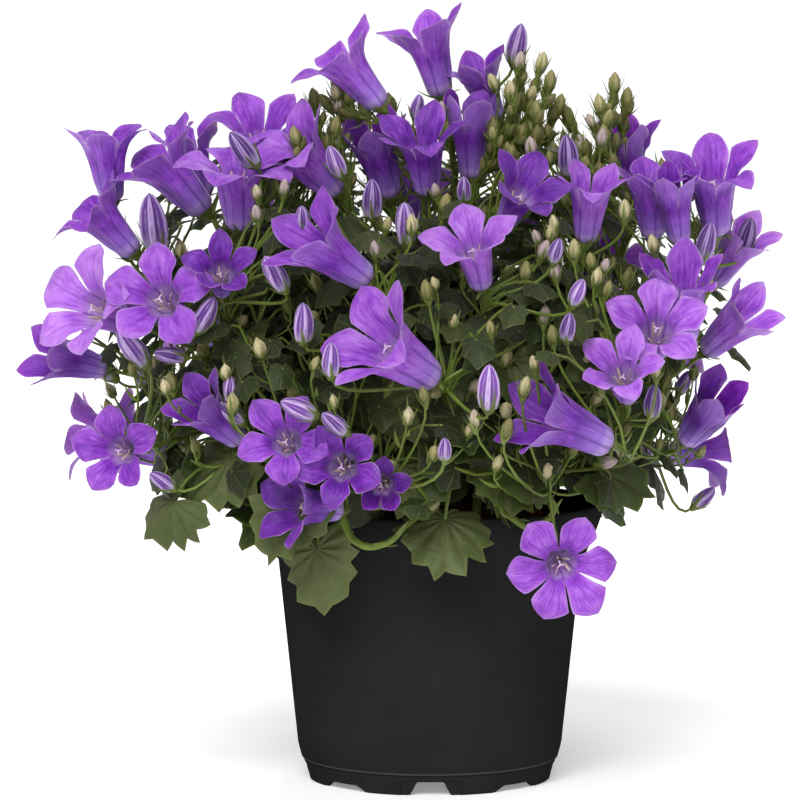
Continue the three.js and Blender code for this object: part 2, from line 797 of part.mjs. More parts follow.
function without(solid, others) {
  const near = others.filter((other) => boxesMeet(solid, other));
  return near.length ? solid.subtract(wasm.Manifold.union(near)) : solid;
}

function largestBody(solid) {
  return solid.decompose().sort((a, b) => b.volume() - a.volume())[0];
}

// Stems whose firm parts cross are fused into one
function stemGroups(stems, parts) {
  const group = stems.map((stem, index) => index);
  parts.forEach((a, i) => {
    parts.slice(i + 1).forEach((b) => {
      if (group[a.stem] === group[b.stem] || !boxesMeet(a.grown, b.solid)) return;
      if (a.grown.intersect(b.solid).volume() === 0) return;
      const [from, to] = [group[b.stem], group[a.stem]];
      group.forEach((value, index) => {
        if (value === from) group[index] = to;
      });
    });
  });
  return group;
}

function mesh(name, solid, material) {
  const shape = solid.getMesh();
  const geometry = new THREE.BufferGeometry();
  geometry.setAttribute("position", new THREE.BufferAttribute(shape.vertProperties, 3));
  geometry.setIndex(new THREE.BufferAttribute(shape.triVerts, 1));
  geometry.computeVertexNormals();
  const made = new THREE.Mesh(geometry, material);
  made.name = name;
  return made;
}

// The pot, turned round its axis, with drain holes in its raised plate and notches in its foot
function potSolid() {
  const collarBottom = POT_HEIGHT - COLLAR_DROP;
  const profile = [
    [0, 0],
    [PAD_RADIUS, 0],
    [PAD_RADIUS + 1, PLATE_UNDERSIDE],
    [FOOT_RADIUS - 3.4, PLATE_UNDERSIDE],
    [FOOT_RADIUS - 2.2, 0],
    [FOOT_RADIUS, 0],
    [FOOT_RADIUS + 1, FOOT_HEIGHT],
    [BODY_FOOT_RADIUS, FOOT_HEIGHT + 1],
    [BODY_TOP_RADIUS, collarBottom - 0.5],
    [COLLAR_BOTTOM_RADIUS, collarBottom],
    [COLLAR_SWELL_RADIUS, POT_HEIGHT - COLLAR_SWELL_DROP],
    [RIM_RADIUS - 0.5, POT_HEIGHT - 3],
    [RIM_RADIUS, POT_HEIGHT - 1],
    [RIM_RADIUS - 1, POT_HEIGHT],
    [RIM_RADIUS - 2.2, POT_HEIGHT - 0.5],
    [BODY_TOP_RADIUS - POT_WALL, collarBottom - 2],
    [BODY_FOOT_RADIUS - POT_WALL, PLATE_TOP + 3],
    [FOOT_RADIUS - POT_WALL, PLATE_TOP],
    [0, PLATE_TOP],
  ];
  const turned = new THREE.LatheGeometry(
    profile.map(([radius, height]) => new THREE.Vector2(radius, height)),
    POT_SIDES,
  );
  turned.rotateX(Math.PI / 2);
  const cuts = [];
  for (let i = 0; i < DRAIN_COUNT; i += 1) {
    const hole = new THREE.CylinderGeometry(DRAIN_RADIUS, DRAIN_RADIUS, 8, 6);
    hole.rotateX(Math.PI / 2);
    const place = around((2 * Math.PI * i) / DRAIN_COUNT, DRAIN_RING, PLATE_TOP);
    cuts.push(solidFrom(hole.translate(place.x, place.y, place.z)));
  }
  for (let i = 0; i < NOTCH_COUNT; i += 1) {
    const half = NOTCH_WIDTH / 2;
    const outline = new THREE.Shape([
      new THREE.Vector2(-half - 1, -1),
      new THREE.Vector2(half + 1, -1),
      new THREE.Vector2(half - 1.5, NOTCH_HEIGHT),
      new THREE.Vector2(-half + 1.5, NOTCH_HEIGHT),
    ]);
    const arch = new THREE.ExtrudeGeometry(outline, { depth: 8, bevelEnabled: false });
    arch.rotateX(Math.PI / 2);
    arch.translate(0, -FOOT_RADIUS + 5, 0);
    arch.rotateZ((2 * Math.PI * i) / NOTCH_COUNT);
    cuts.push(solidFrom(arch));
  }
  return solidFrom(turned).subtract(wasm.Manifold.union(cuts));
}

// Crumbly soil that fills the pot to just under its rim, with a hole for each main stem
function soilSolid(stems) {
  const collarBottom = POT_HEIGHT - COLLAR_DROP;
  const inset = POT_WALL + CLEARANCE + 0.25;
  const lowest = collarBottom - 2;
  const rimSlope = (RIM_RADIUS - 2.2 - (BODY_TOP_RADIUS - POT_WALL)) / (POT_HEIGHT - 0.5 - lowest);
  const topRadius = BODY_TOP_RADIUS - inset + rimSlope * (SOIL_LEVEL - 1.5 - lowest);
  const profile = [
    [0, PLATE_TOP + CLEARANCE],
    [FOOT_RADIUS - inset, PLATE_TOP + CLEARANCE],
    [BODY_FOOT_RADIUS - inset, PLATE_TOP + 3 + CLEARANCE],
    [BODY_TOP_RADIUS - inset, lowest],
    [topRadius, SOIL_LEVEL - 1.5],
    [0.72 * topRadius, SOIL_LEVEL],
    [0.4 * topRadius, SOIL_LEVEL],
    [0, SOIL_LEVEL],
  ];
  const turned = new THREE.LatheGeometry(
    profile.map(([radius, height]) => new THREE.Vector2(radius, height)),
    SOIL_SIDES,
  );
  turned.rotateX(Math.PI / 2);
  const places = turned.getAttribute("position");
  for (let i = 0; i < places.count; i += 1) {
    const [x, y, z] = [places.getX(i), places.getY(i), places.getZ(i)];
    const bump = SOIL_BUMP * Math.sin(0.31 * x + 1) * Math.cos(0.27 * y + 0.4);
    if (z > SOIL_LEVEL - 0.1) places.setZ(i, z + bump);
  }
  const holes = stems.map((stem) => {
    const radius = (MAIN_STEM_RADIUS + CLEARANCE) / Math.cos(Math.PI / 6);
    const hole = new THREE.CylinderGeometry(radius, radius, STEM_FOOT_DEPTH + 6, 6);
    hole.rotateX(Math.PI / 2);
    const middle = SOIL_LEVEL - STEM_FOOT_DEPTH - CLEARANCE + (STEM_FOOT_DEPTH + 6) / 2;
    return solidFrom(hole.translate(stem.foot.x, stem.foot.y, middle));
  });
  return solidFrom(turned).subtract(wasm.Manifold.union(holes));
}

// The plant, put together

const draw = makeDraw(SEED);
const stems = stemPlan();
const shown = frontBlooms();
const hidden = hiddenBlooms(shown, draw);
const blooms = [...shown, ...hidden];
const buds = [...frontBuds(), ...hiddenBuds(hidden, blooms, draw)];

const bloomStems = bloomStemParts(stems, blooms, draw);
const firm = [
  ...mainStemParts(stems),
  ...bloomStems.parts,
  ...budStemParts(buds, bloomStems.stalks),
  ...spireParts(stems),
  ...smallBudParts(bloomStems.smallBuds),
];
const largeLeaves = largeLeafParts(stems);
const leaves = [...largeLeaves, ...leafParts(stems, bloomStems.leafPlaces, draw)];
const group = stemGroups(stems, firm);

const bells = blooms.map((bloom, index) => {
  const others = firm.filter((piece) => piece.bloom !== index).map((piece) => piece.grown);
  return largestBody(without(bloomSolid(bloom), others));
});
const bellRoom = blooms.map((bloom) => bloomSolid(bloom, CLEARANCE));

const potBody = potSolid();
const soilBody = soilSolid(stems);
const plant = new THREE.Group();
const black = new THREE.MeshStandardMaterial({ color: 0x232325, roughness: 0.55 });
const brown = new THREE.MeshStandardMaterial({ color: 0x3a2119, roughness: 1 });
const green = new THREE.MeshStandardMaterial({ color: 0x4c6128, roughness: 0.7, flatShading: true });
const violet = new THREE.MeshStandardMaterial({ color: 0x8f46cc, roughness: 0.6, flatShading: true });
plant.add(mesh("pot", potBody, black), mesh("soil", soilBody, brown));

const leafRoom = [];
[...new Set(group)].forEach((id, index) => {
  const own = firm.filter((piece) => group[piece.stem] === id).map((piece) => piece.solid);
  const foreign = firm.filter((piece) => group[piece.stem] !== id).map((piece) => piece.grown);
  const keepOff = [...foreign, ...bellRoom, ...leafRoom, potBody, soilBody];
  const ownLeaves = leaves.filter((leaf) => group[leaf.stem] === id);
  const blades = ownLeaves.map((leaf) => without(leaf.solid, keepOff));
  leafRoom.push(...ownLeaves.map((leaf) => leaf.grown));
  const body = largestBody(wasm.Manifold.union([...own, ...blades]).simplify(TIDY));
  plant.add(mesh("leafy_stem_" + String(index + 1).padStart(2, "0"), body, green));
});

wasm.Manifold.union(bells)
  .simplify(TIDY)
  .decompose()
  .forEach((body, index) => {
    plant.add(mesh("bloom_" + String(index + 1).padStart(2, "0"), body, violet));
  });

export default plant;
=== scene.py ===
"""A cushion bellflower in a black nursery pot: fine petals, leaves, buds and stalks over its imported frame.

Lengths are millimetres until a mesh is made in metres. +Z is up, and the photograph's side is -Y.
"""
import math
from dataclasses import dataclass

import bpy
import numpy as np
from mathutils import Matrix


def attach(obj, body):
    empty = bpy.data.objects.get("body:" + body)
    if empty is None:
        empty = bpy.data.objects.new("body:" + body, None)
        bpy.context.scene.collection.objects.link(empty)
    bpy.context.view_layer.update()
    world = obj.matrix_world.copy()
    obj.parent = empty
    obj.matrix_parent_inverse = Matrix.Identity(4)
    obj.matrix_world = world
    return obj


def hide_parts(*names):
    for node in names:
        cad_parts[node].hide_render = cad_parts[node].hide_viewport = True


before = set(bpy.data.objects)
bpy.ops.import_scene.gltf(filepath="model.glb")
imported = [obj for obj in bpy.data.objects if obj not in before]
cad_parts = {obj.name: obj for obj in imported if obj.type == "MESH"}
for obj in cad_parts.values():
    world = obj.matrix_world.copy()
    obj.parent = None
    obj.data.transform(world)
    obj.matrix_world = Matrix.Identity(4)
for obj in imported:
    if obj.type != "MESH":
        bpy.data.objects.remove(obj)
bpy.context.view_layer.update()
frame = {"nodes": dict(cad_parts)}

METRE = 0.001

# Pot
POT_HEIGHT = 94
RIM_RADIUS = 58.5
LIP_RADIUS = 1.1
COLLAR_DROP = 18.5
COLLAR_BOTTOM_RADIUS = 52.4
COLLAR_SWELL_RADIUS = 56.4
COLLAR_SWELL_DROP = 9.5
BODY_TOP_RADIUS = 51.3
BODY_FOOT_RADIUS = 44.0
FOOT_RADIUS = 41.6
FOOT_HEIGHT = 7
FOOT_RING = 2.4
POT_WALL = 1.6
PLATE_UNDERSIDE = 5
PLATE_TOP = 7
PAD_RADIUS = 12
POT_SIDES = 144
NOTCH_COUNT = 8
NOTCH_WIDTH = 11
NOTCH_HEIGHT = 4.6
SIDE_NOTCH_HEIGHT = 2.0
PANEL_HALF_WIDTH = 10
LEDGE_HEIGHT = 7.4
PANEL_DEPTH = 0.5
DRAIN_COUNT = 6
DRAIN_RADIUS = 3.2
DRAIN_RING = 26

# Soil
SOIL_LEVEL = 87
SOIL_MOUND = 2.6
SOIL_TOP_RADIUS = 51.6
SOIL_SIDES = 96
SOIL_RINGS = 36
CRUMB_COUNT = 420
CRUMB_RADIUS = 1.1

# Bell of one bloom at size 1, and the balls that stand for it: share of its length and radius
BELL_LENGTH = 19
BELL_FOOT_RADIUS = 4.5
BELL_FOOT_RISE = 3.4
THROAT_RADIUS = 6.4
SOLID_FOOT_RADIUS = 4.9
SOLID_FOOT_RISE = 2.2
TUBE_SHARE = 0.84
LOBE_LENGTH = 16
LOBE_HALF_WIDTH = 6.4
STAR_WIDTH = 0.26
SIX_LONGER = 1.1
SIX_WIDER = 1.25
TIP_FLARE = 8
PETAL_THICKNESS = 0.3
BELL_COLUMNS = 13
FOOT_ROWS = 4
TUBE_ROWS = 9
LOBE_ROWS = 12
BELL_ROOM = ((0.0, 6.5), (0.5, 6.5), (0.9, 9), (1.3, 11))

# Calyx under each bell
SEPALS = 5
SEPAL_REACH = 7.2
SEPAL_RISE = 2.6
CALYX_DEPTH = 2.4

# Stems
MAIN_STEM_RADIUS = 1.7
MAIN_STEM_TOP_RADIUS = 1.1
BLOOM_STEM_RADIUS = 0.75
BUD_STEM_RADIUS = 0.6
GREEN_BUD_STEM_RADIUS = 0.5
THIN_STEM_RADIUS = 0.45
MAIN_STEM_STEPS = 16
STALK_STEPS = 14
BUD_STALK_STEPS = 9
FILLER_STALK_STEPS = 8
LOW_STALK_STEPS = 6
BUD_JOINTS = 8
LOWEST_BRANCH = 0.42
SMALL_BUD_SHARE = 0.2
SIDE_LEAF_SHARE = 0.2
SMALL_BUD_AT = 0.62
SIDE_LEAF_AT = 0.4
SPIRE_BUDS = 3
SPIRE_TURN = 137
SPIRE_LEAN_FORWARD = 0.1
SPIRAL_TURN = 137.5
WAY_STEP = 0.02
LEAF_TURNS = 12
LEAF_ROOT = 0.07
STEM_FOOT_DEPTH = 10
STEM_FOOT_RISE = 3
HUB_REACH = 60
HUB_RISE = 6
FOOT_PULL = 20
HUB_PULL = 16
JOINTS_OVER_RIM = 12
JOINTS_WITHIN = 32
JOINT_SPREAD = 14
ARCH_OUTSIDE = 49
ARCH_BELOW = 18
ARCH_RISE = 24
ARCH_DROP = 16

# Buds
BUD_SLENDERNESS = 0.3
BUD_EXTRA_WIDTH = 1.2
BUD_LEAN_FORWARD = 0.35
BUD_ASIDE = 19
BUD_BEHIND = 6
BUD_ROOM = 18
SPIRE_BUD_LENGTH = 8
FINE_SPIRE_BUDS = 12
FINE_SPIRE_FROM = 0.32
FINE_SPIRE_STEP = 0.056
SPRAY_BUDS = 6
SPRAY_FROM = 0.45
SPRAY_STEP = 0.09

# Leaves
BLADE_RISE = 1.4
BLADE_THICKNESS = 0.4
LARGE_BLADE_SHARE = 0.84
LARGE_BLADE_MIDDLE = 0.45
LARGE_BLADE_JOINT = 0.09
STEM_SHARES = (0.3, 0.42, 0.54, 0.66, 0.78, 0.9)
FILLER_TURNS = 10
STALK_FILLER_SHARES = (0.25, 0.6)
FILLER_STALK = 9
FILLER_CLEARANCE = 1.5
FILLER_INSIDE = 0.93
LOW_CLEARANCE = 1.0
LOW_STALK_LONGEST = 45
SHELL_TOP = 0.97
SHORTEST_LOW_LEAF = 8
SHOOT_COUNT = 260
SHOOT_LOWEST = -0.1
SHOOT_HEIGHTS = 1.06
BARE_SOIL = np.array([(22.0, -30, 90), (45.0, -22, 96)])
BARE_RADIUS = 7.0
BARE_RIM_FROM = 48
TUFT_COUNT = 190
TUFT_MIDDLE = np.array([12.0, -2, 176])
TUFT_HALF = np.array([82.0, 44, 52])

# Shells of small leaves within the cushion: share of its half axes, how many leaves, sine of the lowest
# rise and the longest leaf
UNDERGROWTH = (
    (0.42, 40, -0.24, 17), (0.58, 80, -0.24, 17), (0.72, 130, -0.24, 17), (0.84, 190, -0.24, 17),
    (0.96, 220, 0.3, 13), (1.08, 150, 0.3, 13), (1.14, 90, 0.75, 13), (1.2, 90, 0.75, 13),
)

# The cushion, from which the blooms of the hidden side and the direction of every stem are worked out
CROWN = np.array([-6.0, 0, 96])
CUSHION_CENTRE = np.array([-8.0, 0, 116])
CUSHION_HALF = np.array([108.0, 98, 86])
GOLDEN_RATIO = (math.sqrt(5) - 1) / 2
GOLDEN_ANGLE = 2 * math.pi * (1 - GOLDEN_RATIO)
SEED = 4711
HIDDEN_TRIES = 110
HIDDEN_SPACING = 33
HIDDEN_FROM = 4
HIDDEN_LOWEST = -0.16
HIDDEN_HEIGHTS = 1.12
HIDDEN_FLARES = (24, 42, 50, 60)

# Blooms of the shown side: throat x, y, z, turn to the right, rise, view angle of one petal, size, how
# far the petals open, how light the violet is from 0 to 1, and how far the front petal curls back
FRONT_BLOOMS = (
    (-28, -25, 242, -75, 50, 198, 1.0, 42, 0.6, 0),
    (-1, 5, 248, -60, 72, 43, 1.0, 32, 0.5, 0),
    (17, 5, 236, -60, 65, 167, 0.8, 24, 0.25, 0),
    (-108, -10, 213, -40, 82, 288, 0.95, 34, 0.45, 8),
    (-110, -22, 192, -80, 48, 209, 0.95, 44, 0.45, 80),
    (-88, -18, 208, -80, 50, 206, 1.1, 35, 0.5, 0),
    (-81, 15, 212, -60, 72, 185, 0.9, 28, 0.45, 0),
    (-63, -38, 207, 0, 72, 179, 1.1, 55, 0.6, 20),
    (-57, -11, 219, 0, 60, 101, 0.95, 40, 0.5, 0),
    (-43, -32, 213, -60, 45, 144, 1.05, 34, 0.6, 60),
    (-18, -12, 213, -40, 65, 120, 0.95, 22, 0.3, 0),
    (-3, -32, 215, -15, 65, 242, 0.95, 24, 0.35, 80),
    (13, -18, 221, -10, 78, 108, 0.95, 6, 0.2, 0),
    (30, -55, 201, 30, 42, 5, 0.85, 40, 0.3, 0),
    (13, -80, 185, -20, 56, 157, 0.9, 44, 0.75, 0),
    (52, -45, 199, 15, 72, 72, 0.85, 14, 0.65, 90),
    (66, 2, 212, -15, 70, 133, 0.9, 10, 0.2, 0),
    (73, -26, 200, -10, 74, 67, 0.9, 20, 0.45, 0),
    (80, -38, 198, -25, 72, 100, 0.85, 10, 0.35, 0),
    (94, -20, 203, -10, 62, 149, 1.1, 28, 0.45, 90),
    (104, 3, 180, 50, 52, 12, 0.9, 12, 0.75, 0),
    (103, -18, 156, 50, 38, 52, 0.95, 8, 0.7, 0),
    (92, -42, 129, 35, 42, 34, 0.95, 8, 0.15, 0),
    (82, -52, 169, -10, 64, 134, 1.05, 22, 0.45, 40),
    (73, -70, 158, 0, 35, 90, 0.9, 56, 0.7, 0),
    (61, -84, 145, -12, 40, 135, 0.82, 40, 0.75, 40),
    (39, -90, 130, -68, 24, 87, 1.15, 18, 0.3, 60),
    (42, -84, 82, 5, -5, 70, 0.85, 62, 0.55, 0),
    (-103, -42, 115, -20, 4, 100, 0.8, 52, 0.45, 0),
    (-124, -8, 143, -65, 15, 151, 0.9, 24, 0.3, 0),
    (-112, -48, 163, -40, 18, 150, 1.05, 54, 0.85, 0),
    (-88, -62, 167, -15, 18, 161, 0.95, 54, 0.6, 0),
    (-68, -66, 176, 0, 35, 159, 0.72, 38, 0.25, 0),
    (-35, -80, 185, -60, 35, 218, 1.1, 17, 0.45, 40),
    (-15, -96, 154, -52, 30, 127, 1.25, 34, 0.65, 50),
    (-73, -62, 130, -55, 38, 165, 0.9, 18, 0.3, 0),
    (-47, -84, 123, -12, 20, 127, 0.8, 52, 0.5, 0),
    (-43, -78, 101, -55, 8, 162, 0.9, 38, 0.2, 0),
    (-29, -88, 115, -8, 10, 188, 0.8, 46, 0.3, 0),
    (-16, -83, 108, 0, 0, 159, 0.62, 30, 0.1, 0),
)
SIX_PETALLED = 27

# Striped buds of the same side: place of the base, the lean in the front view and the length
FRONT_BUDS = (
    (28, -2, 241, 80, 15), (-57, -45, 209, 127, 15), (-29, -38, 205, 113, 12),
    (-90, -25, 179, 98, 22), (-5, -5, 223, 80, 9), (11, -40, 197, 93, 9),
    (-19, -50, 192, 91, 14), (-8, -60, 184, 93, 15), (46, -35, 205, 98, 15),
    (-41, -70, 189, 95, 9), (-47, -72, 170, 120, 14), (-41, -82, 154, 90, 14),
    (-76, -62, 156, 63, 14), (-32, -92, 144, 90, 12), (-93, -48, 144, 127, 16),
    (-80, -55, 147, 170, 11), (90, -30, 177, 80, 14), (105, 0, 177, 78, 14),
    (39, -75, 179, 76, 9), (45, -85, 166, 70, 10), (43, -88, 155, 85, 10),
    (18, -100, 134, 90, 16), (4, -100, 118, 90, 8), (71, -72, 129, 86, 12),
    (-61, -60, 126, 142, 13), (-37, -88, 131, 155, 13), (-27, -92, 126, 140, 11),
    (-65, -68, 134, 90, 9), (-84, -55, 104, 145, 10),
)

# Small green buds of the same side, in the same way
GREEN_BUDS = (
    (29, -12, 239, 80, 7.4), (27, -16, 230, 95, 6.7), (22, -14, 232, 110, 7.4),
    (21, -30, 216, 100, 6.0), (3, -20, 222, 85, 8.1), (-31, -20, 229, 100, 6.7),
    (-33, -14, 226, 125, 7.4), (-32, -30, 218, 80, 7.4), (-56, -55, 198, 100, 6.0),
    (-48, -52, 199, 85, 6.7), (-56, -58, 191, 100, 6.7), (-32, -60, 194, 120, 6.7),
    (-15, -62, 188, 75, 6.0), (-18, -70, 180, 95, 6.7), (2, -45, 198, 100, 6.0),
    (4, -50, 193, 80, 8.1), (33, -40, 211, 95, 8.1), (56, -30, 214, 85, 7.4),
    (54, -18, 220, 110, 6.0), (58, -16, 220, 75, 7.4), (40, -62, 188, 100, 6.7),
    (46, -66, 179, 90, 8.1), (52, -66, 176, 100, 6.7), (55, -66, 175, 70, 6.0),
    (35, -62, 184, 110, 6.0), (35, -64, 179, 70, 8.1), (40, -72, 173, 95, 7.4),
    (30, -66, 172, 85, 8.1), (36, -76, 159, 85, 7.4), (56, -66, 167, 75, 6.7),
    (63, -50, 191, 90, 8.1), (39, -80, 153, 95, 7.4), (33, -86, 145, 100, 6.0),
    (29, -92, 137, 80, 8.1), (72, -80, 142, 95, 6.0), (73, -46, 180, 100, 7.4),
    (90, -48, 167, 80, 6.7), (14, -92, 127, 95, 7.4), (23, -94, 124, 75, 8.1),
    (-2, -92, 135, 100, 6.7), (-84, -52, 135, 100, 8.1), (-1, -82, 167, 100, 8.1),
    (7, -84, 158, 85, 6.0), (19, -84, 156, 95, 6.0),
)

# Spires of small green buds: place of the top and the lean
SPIRES = (
    (36, -10, 238, 75),
    (61, -8, 231, 85),
    (-31, -18, 232, 95),
)

# Shorter sprays of buds beside the spires, in the same way
SPRAYS = (
    (30, -10, 237, 95), (39, -14, 232, 80), (42, -8, 224, 75),
    (27, -16, 228, 100), (21, -20, 217, 95), (35, -18, 222, 90),
    (57, -14, 224, 100), (58, -18, 214, 95), (65, -4, 226, 80),
    (-38, -14, 226, 100), (-27, -20, 228, 80), (-44, -30, 214, 100),
)

# Large leaves: middle of the blade, facing as a turn and a rise, view angle of the tip, and the length
LARGE_LEAVES = (
    (-90, -50, 93, -35, 20, 215, 23),
    (-49, -72, 90, -25, 25, 250, 25),
    (-36, -61, 75, -20, 8, 278, 25),
    (3, -70, 87, 5, 50, 262, 28),
    (64, -58, 106, 30, 30, 350, 24),
    (-74, -50, 108, -40, 30, 190, 30),
    (-8, -70, 128, 0, 20, 250, 26),
    (-6, -66, 104, 10, 25, 290, 24),
    (31, -62, 154, 0, 30, 60, 26),
    (57, -64, 152, 20, 30, 20, 24),
    (28, -66, 104, 20, 40, 300, 22),
)

# Thick young shoots that arch over the pot's rim in front
RIM_SHOOTS = (
    ((17.1, -46, 122.4), (18.1, -50, 109.6), (21.3, -54, 100.2), (25.8, -57, 95.3), (32.3, -58, 91.4),
     (36.9, -57, 93.3), (40.2, -54, 96.9), (38.4, -50, 102.4)),
    ((-29.7, -58, 98), (-27.3, -61, 91.1), (-24.7, -63, 87.8), (-19.8, -65, 86.1), (-13.3, -65, 88),
     (-8.5, -63, 92.4), (-2.9, -60, 96.3)),
    ((12, -44, 128), (13, -48, 114), (17, -52, 104), (22, -54, 99)),
)

# Main stems in three rings: how many, how steeply they rise, where they stand and how they are turned
STEM_RINGS = (
    (3, 68, 9, 20),
    (5, 36, 23, 0),
    (5, 6, 36, 36),
)

UP = np.array([0.0, 0, 1])
DRAW_FACTOR = 1664525
DRAW_STEP = 1013904223
DRAW_SIZE = 2**32


# Directions, curves and repeatable draws

def unit(vectors):
    """Each vector divided by its own length."""
    return vectors / np.linalg.norm(vectors, axis=-1, keepdims=True)


def smooth(share):
    """Rises from 0 to 1 without a corner: 3 share squared less 2 share cubed."""
    held = np.clip(share, 0, 1)
    return held * held * (3 - 2 * held)


def make_draw(seed):
    """Repeatable draws between 0 and 1, as for the solids: each state is the last one times a factor plus
    a step, less whole sizes."""
    state = seed

    def draw():
        nonlocal state
        state = (state * DRAW_FACTOR + DRAW_STEP) % DRAW_SIZE
        return state / DRAW_SIZE

    return draw


def heading(turn, rise):
    """The direction that turns to the right of the front and rises, in radians: cos rise sin turn to the
    right, cos rise cos turn to the front, and sin rise up."""
    flat = math.cos(rise)
    return np.array([flat * math.sin(turn), -flat * math.cos(turn), math.sin(rise)])


def facing(yaw, pitch):
    """The same direction with its turn and its rise in degrees."""
    return heading(math.radians(yaw), math.radians(pitch))


def leaning(degrees, forward):
    """The direction at an angle in the front view, which also comes forward by that part of its length
    in the view."""
    angle = math.radians(degrees)
    return unit(np.array([math.cos(angle), -forward, math.sin(angle)]))


def frame_along(axis, view_angle):
    """Three rows: X is the view direction of the angle laid square to the axis, Z is the axis."""
    angle = math.radians(view_angle)
    pointing = np.array([math.cos(angle), 0, math.sin(angle)])
    across = unit(pointing - axis * (pointing @ axis))
    return np.array([across, np.cross(axis, across), axis])


def bezier(corners, share):
    """Points of the cubic curve with four corners, at each share of its parameter."""
    t = np.asarray(share, float).reshape(-1, 1)
    a, b, c, d = corners
    return (1 - t) ** 3 * a + 3 * (1 - t) ** 2 * t * b + 3 * (1 - t) * t * t * c + t**3 * d


def run(corners, steps):
    """Points along the whole of the cubic curve."""
    return bezier(corners, np.linspace(0, 1, steps))


def curve_through(corners, steps):
    """A smooth curve through every corner: on each stretch a cubic whose slope at a corner is half the way
    between that corner's neighbours."""
    slope = np.gradient(corners, axis=0)
    t = np.linspace(0, 1, steps, endpoint=False)[None, :, None]
    a, b = corners[:-1, None], corners[1:, None]
    m, n = slope[:-1, None], slope[1:, None]
    blend = a * (2 * t**3 - 3 * t**2 + 1) + m * (t**3 - 2 * t**2 + t)
    blend = blend + b * (3 * t**2 - 2 * t**3) + n * (t**3 - t**2)
    return np.concatenate([blend.reshape(-1, 3), corners[-1:]])


def point_on(places, share):
    """A place on a row of straight stretches."""
    steps = len(places) - 1
    step = min(int(share * steps), steps - 1)
    return places[step] + (places[step + 1] - places[step]) * (share * steps - step)


def direction_on(places, share):
    """The way that a row of straight stretches runs there."""
    steps = len(places) - 1
    step = min(int(share * steps), steps - 1)
    return unit(places[step + 1] - places[step])


def turned_about(vector, axis, degrees):
    """The vector, which is square to the axis, turned round it."""
    angle = math.radians(degrees)
    return vector * math.cos(angle) + np.cross(axis, vector) * math.sin(angle)


def beside(tangent, degrees):
    """A direction square to a stem's run: right in the front view, then turned round the run."""
    return turned_about(frame_along(tangent, 0)[0], tangent, degrees)


def place_and_way(corners, share, step=WAY_STEP):
    """A place on a cubic curve, and the way from it to the place one step of the share further on."""
    place = bezier(corners, share)[0]
    return place, unit(bezier(corners, share + step)[0] - place)


# Layout of the plant, by the same rules and draws as the solids

@dataclass
class Bloom:
    """A bell: middle of its throat, the way it opens, view angle of one petal, and its looks."""

    throat: np.ndarray
    axis: np.ndarray
    petal_angle: float
    size: float
    flare: float
    petals: int = 5
    tone: float = 0.5
    curl: float = 0

    @property
    def base(self):
        """The middle of the bell's foot: its length behind the throat."""
        return self.throat - self.axis * BELL_LENGTH * self.size


@dataclass
class Bud:
    """A bud of any kind: middle of its foot, the way it points, and its length."""

    base: np.ndarray
    axis: np.ndarray
    length: float


@dataclass
class Stem:
    """A main stem: its direction, its foot, its cubic's corners, places on it, its branches so far."""

    direction: np.ndarray
    foot: np.ndarray
    corners: tuple
    places: np.ndarray
    branches: int = 0


@dataclass
class Stalk:
    """A side stem: the number of its main stem, places on it, and its cubic's corners."""

    stem: int
    places: np.ndarray
    corners: tuple


@dataclass
class Leaf:
    """A blade: number of its main stem, its joint with the stalk, rows that point along, across and up,
    its length, and its own stalk's corners if it has one."""

    stem: int
    base: np.ndarray
    frame: np.ndarray
    length: float
    stalk: tuple = None


def front_blooms():
    """The blooms of the shown side, from their rows."""
    made = []
    for index, (x, y, z, yaw, pitch, angle, size, flare, tone, curl) in enumerate(FRONT_BLOOMS):
        petals = 6 if index == SIX_PETALLED else 5
        throat = np.array([x, y, z], float)
        made.append(Bloom(throat, facing(yaw, pitch), angle, size, flare, petals, tone, curl))
    return made


def hidden_blooms(taken, draw):
    """Blooms stand on the cushion by the golden angle, clear of those before them."""
    made = []
    for i in range(HIDDEN_TRIES):
        turn = i * GOLDEN_ANGLE
        rise = math.asin(HIDDEN_LOWEST + HIDDEN_HEIGHTS * (i + 0.5) / HIDDEN_TRIES)
        throat = CUSHION_CENTRE + CUSHION_HALF * heading(turn, rise)
        near = any(np.linalg.norm(other.throat - throat) < HIDDEN_SPACING for other in taken + made)
        if near or throat[1] < HIDDEN_FROM:
            continue
        axis = facing(math.degrees(turn), 0.75 * math.degrees(rise) + 6 + 18 * draw())
        angle = 360 * draw()
        size = 0.8 + 0.3 * draw()
        flare = HIDDEN_FLARES[int(len(HIDDEN_FLARES) * draw())]
        made.append(Bloom(throat, axis, angle, size, flare))
    return made


def leaning_buds(rows):
    """Buds from rows of a place, a lean and a length."""
    made = []
    for x, y, z, lean, length in rows:
        made.append(Bud(np.array([x, y, z], float), leaning(lean, BUD_LEAN_FORWARD), length))
    return made


def hidden_buds(blooms, taken, draw):
    """Each bloom of the hidden side has a striped bud beside it."""
    made = []
    for bloom in blooms:
        side = frame_along(bloom.axis, 360 * draw())[0]
        base = bloom.throat + side * BUD_ASIDE - bloom.axis * BUD_BEHIND
        length = 9 + 6 * draw()
        if any(np.linalg.norm(other.throat - base) < BUD_ROOM for other in taken):
            continue
        made.append(Bud(base, unit(bloom.axis + 0.8 * UP), length))
    return made


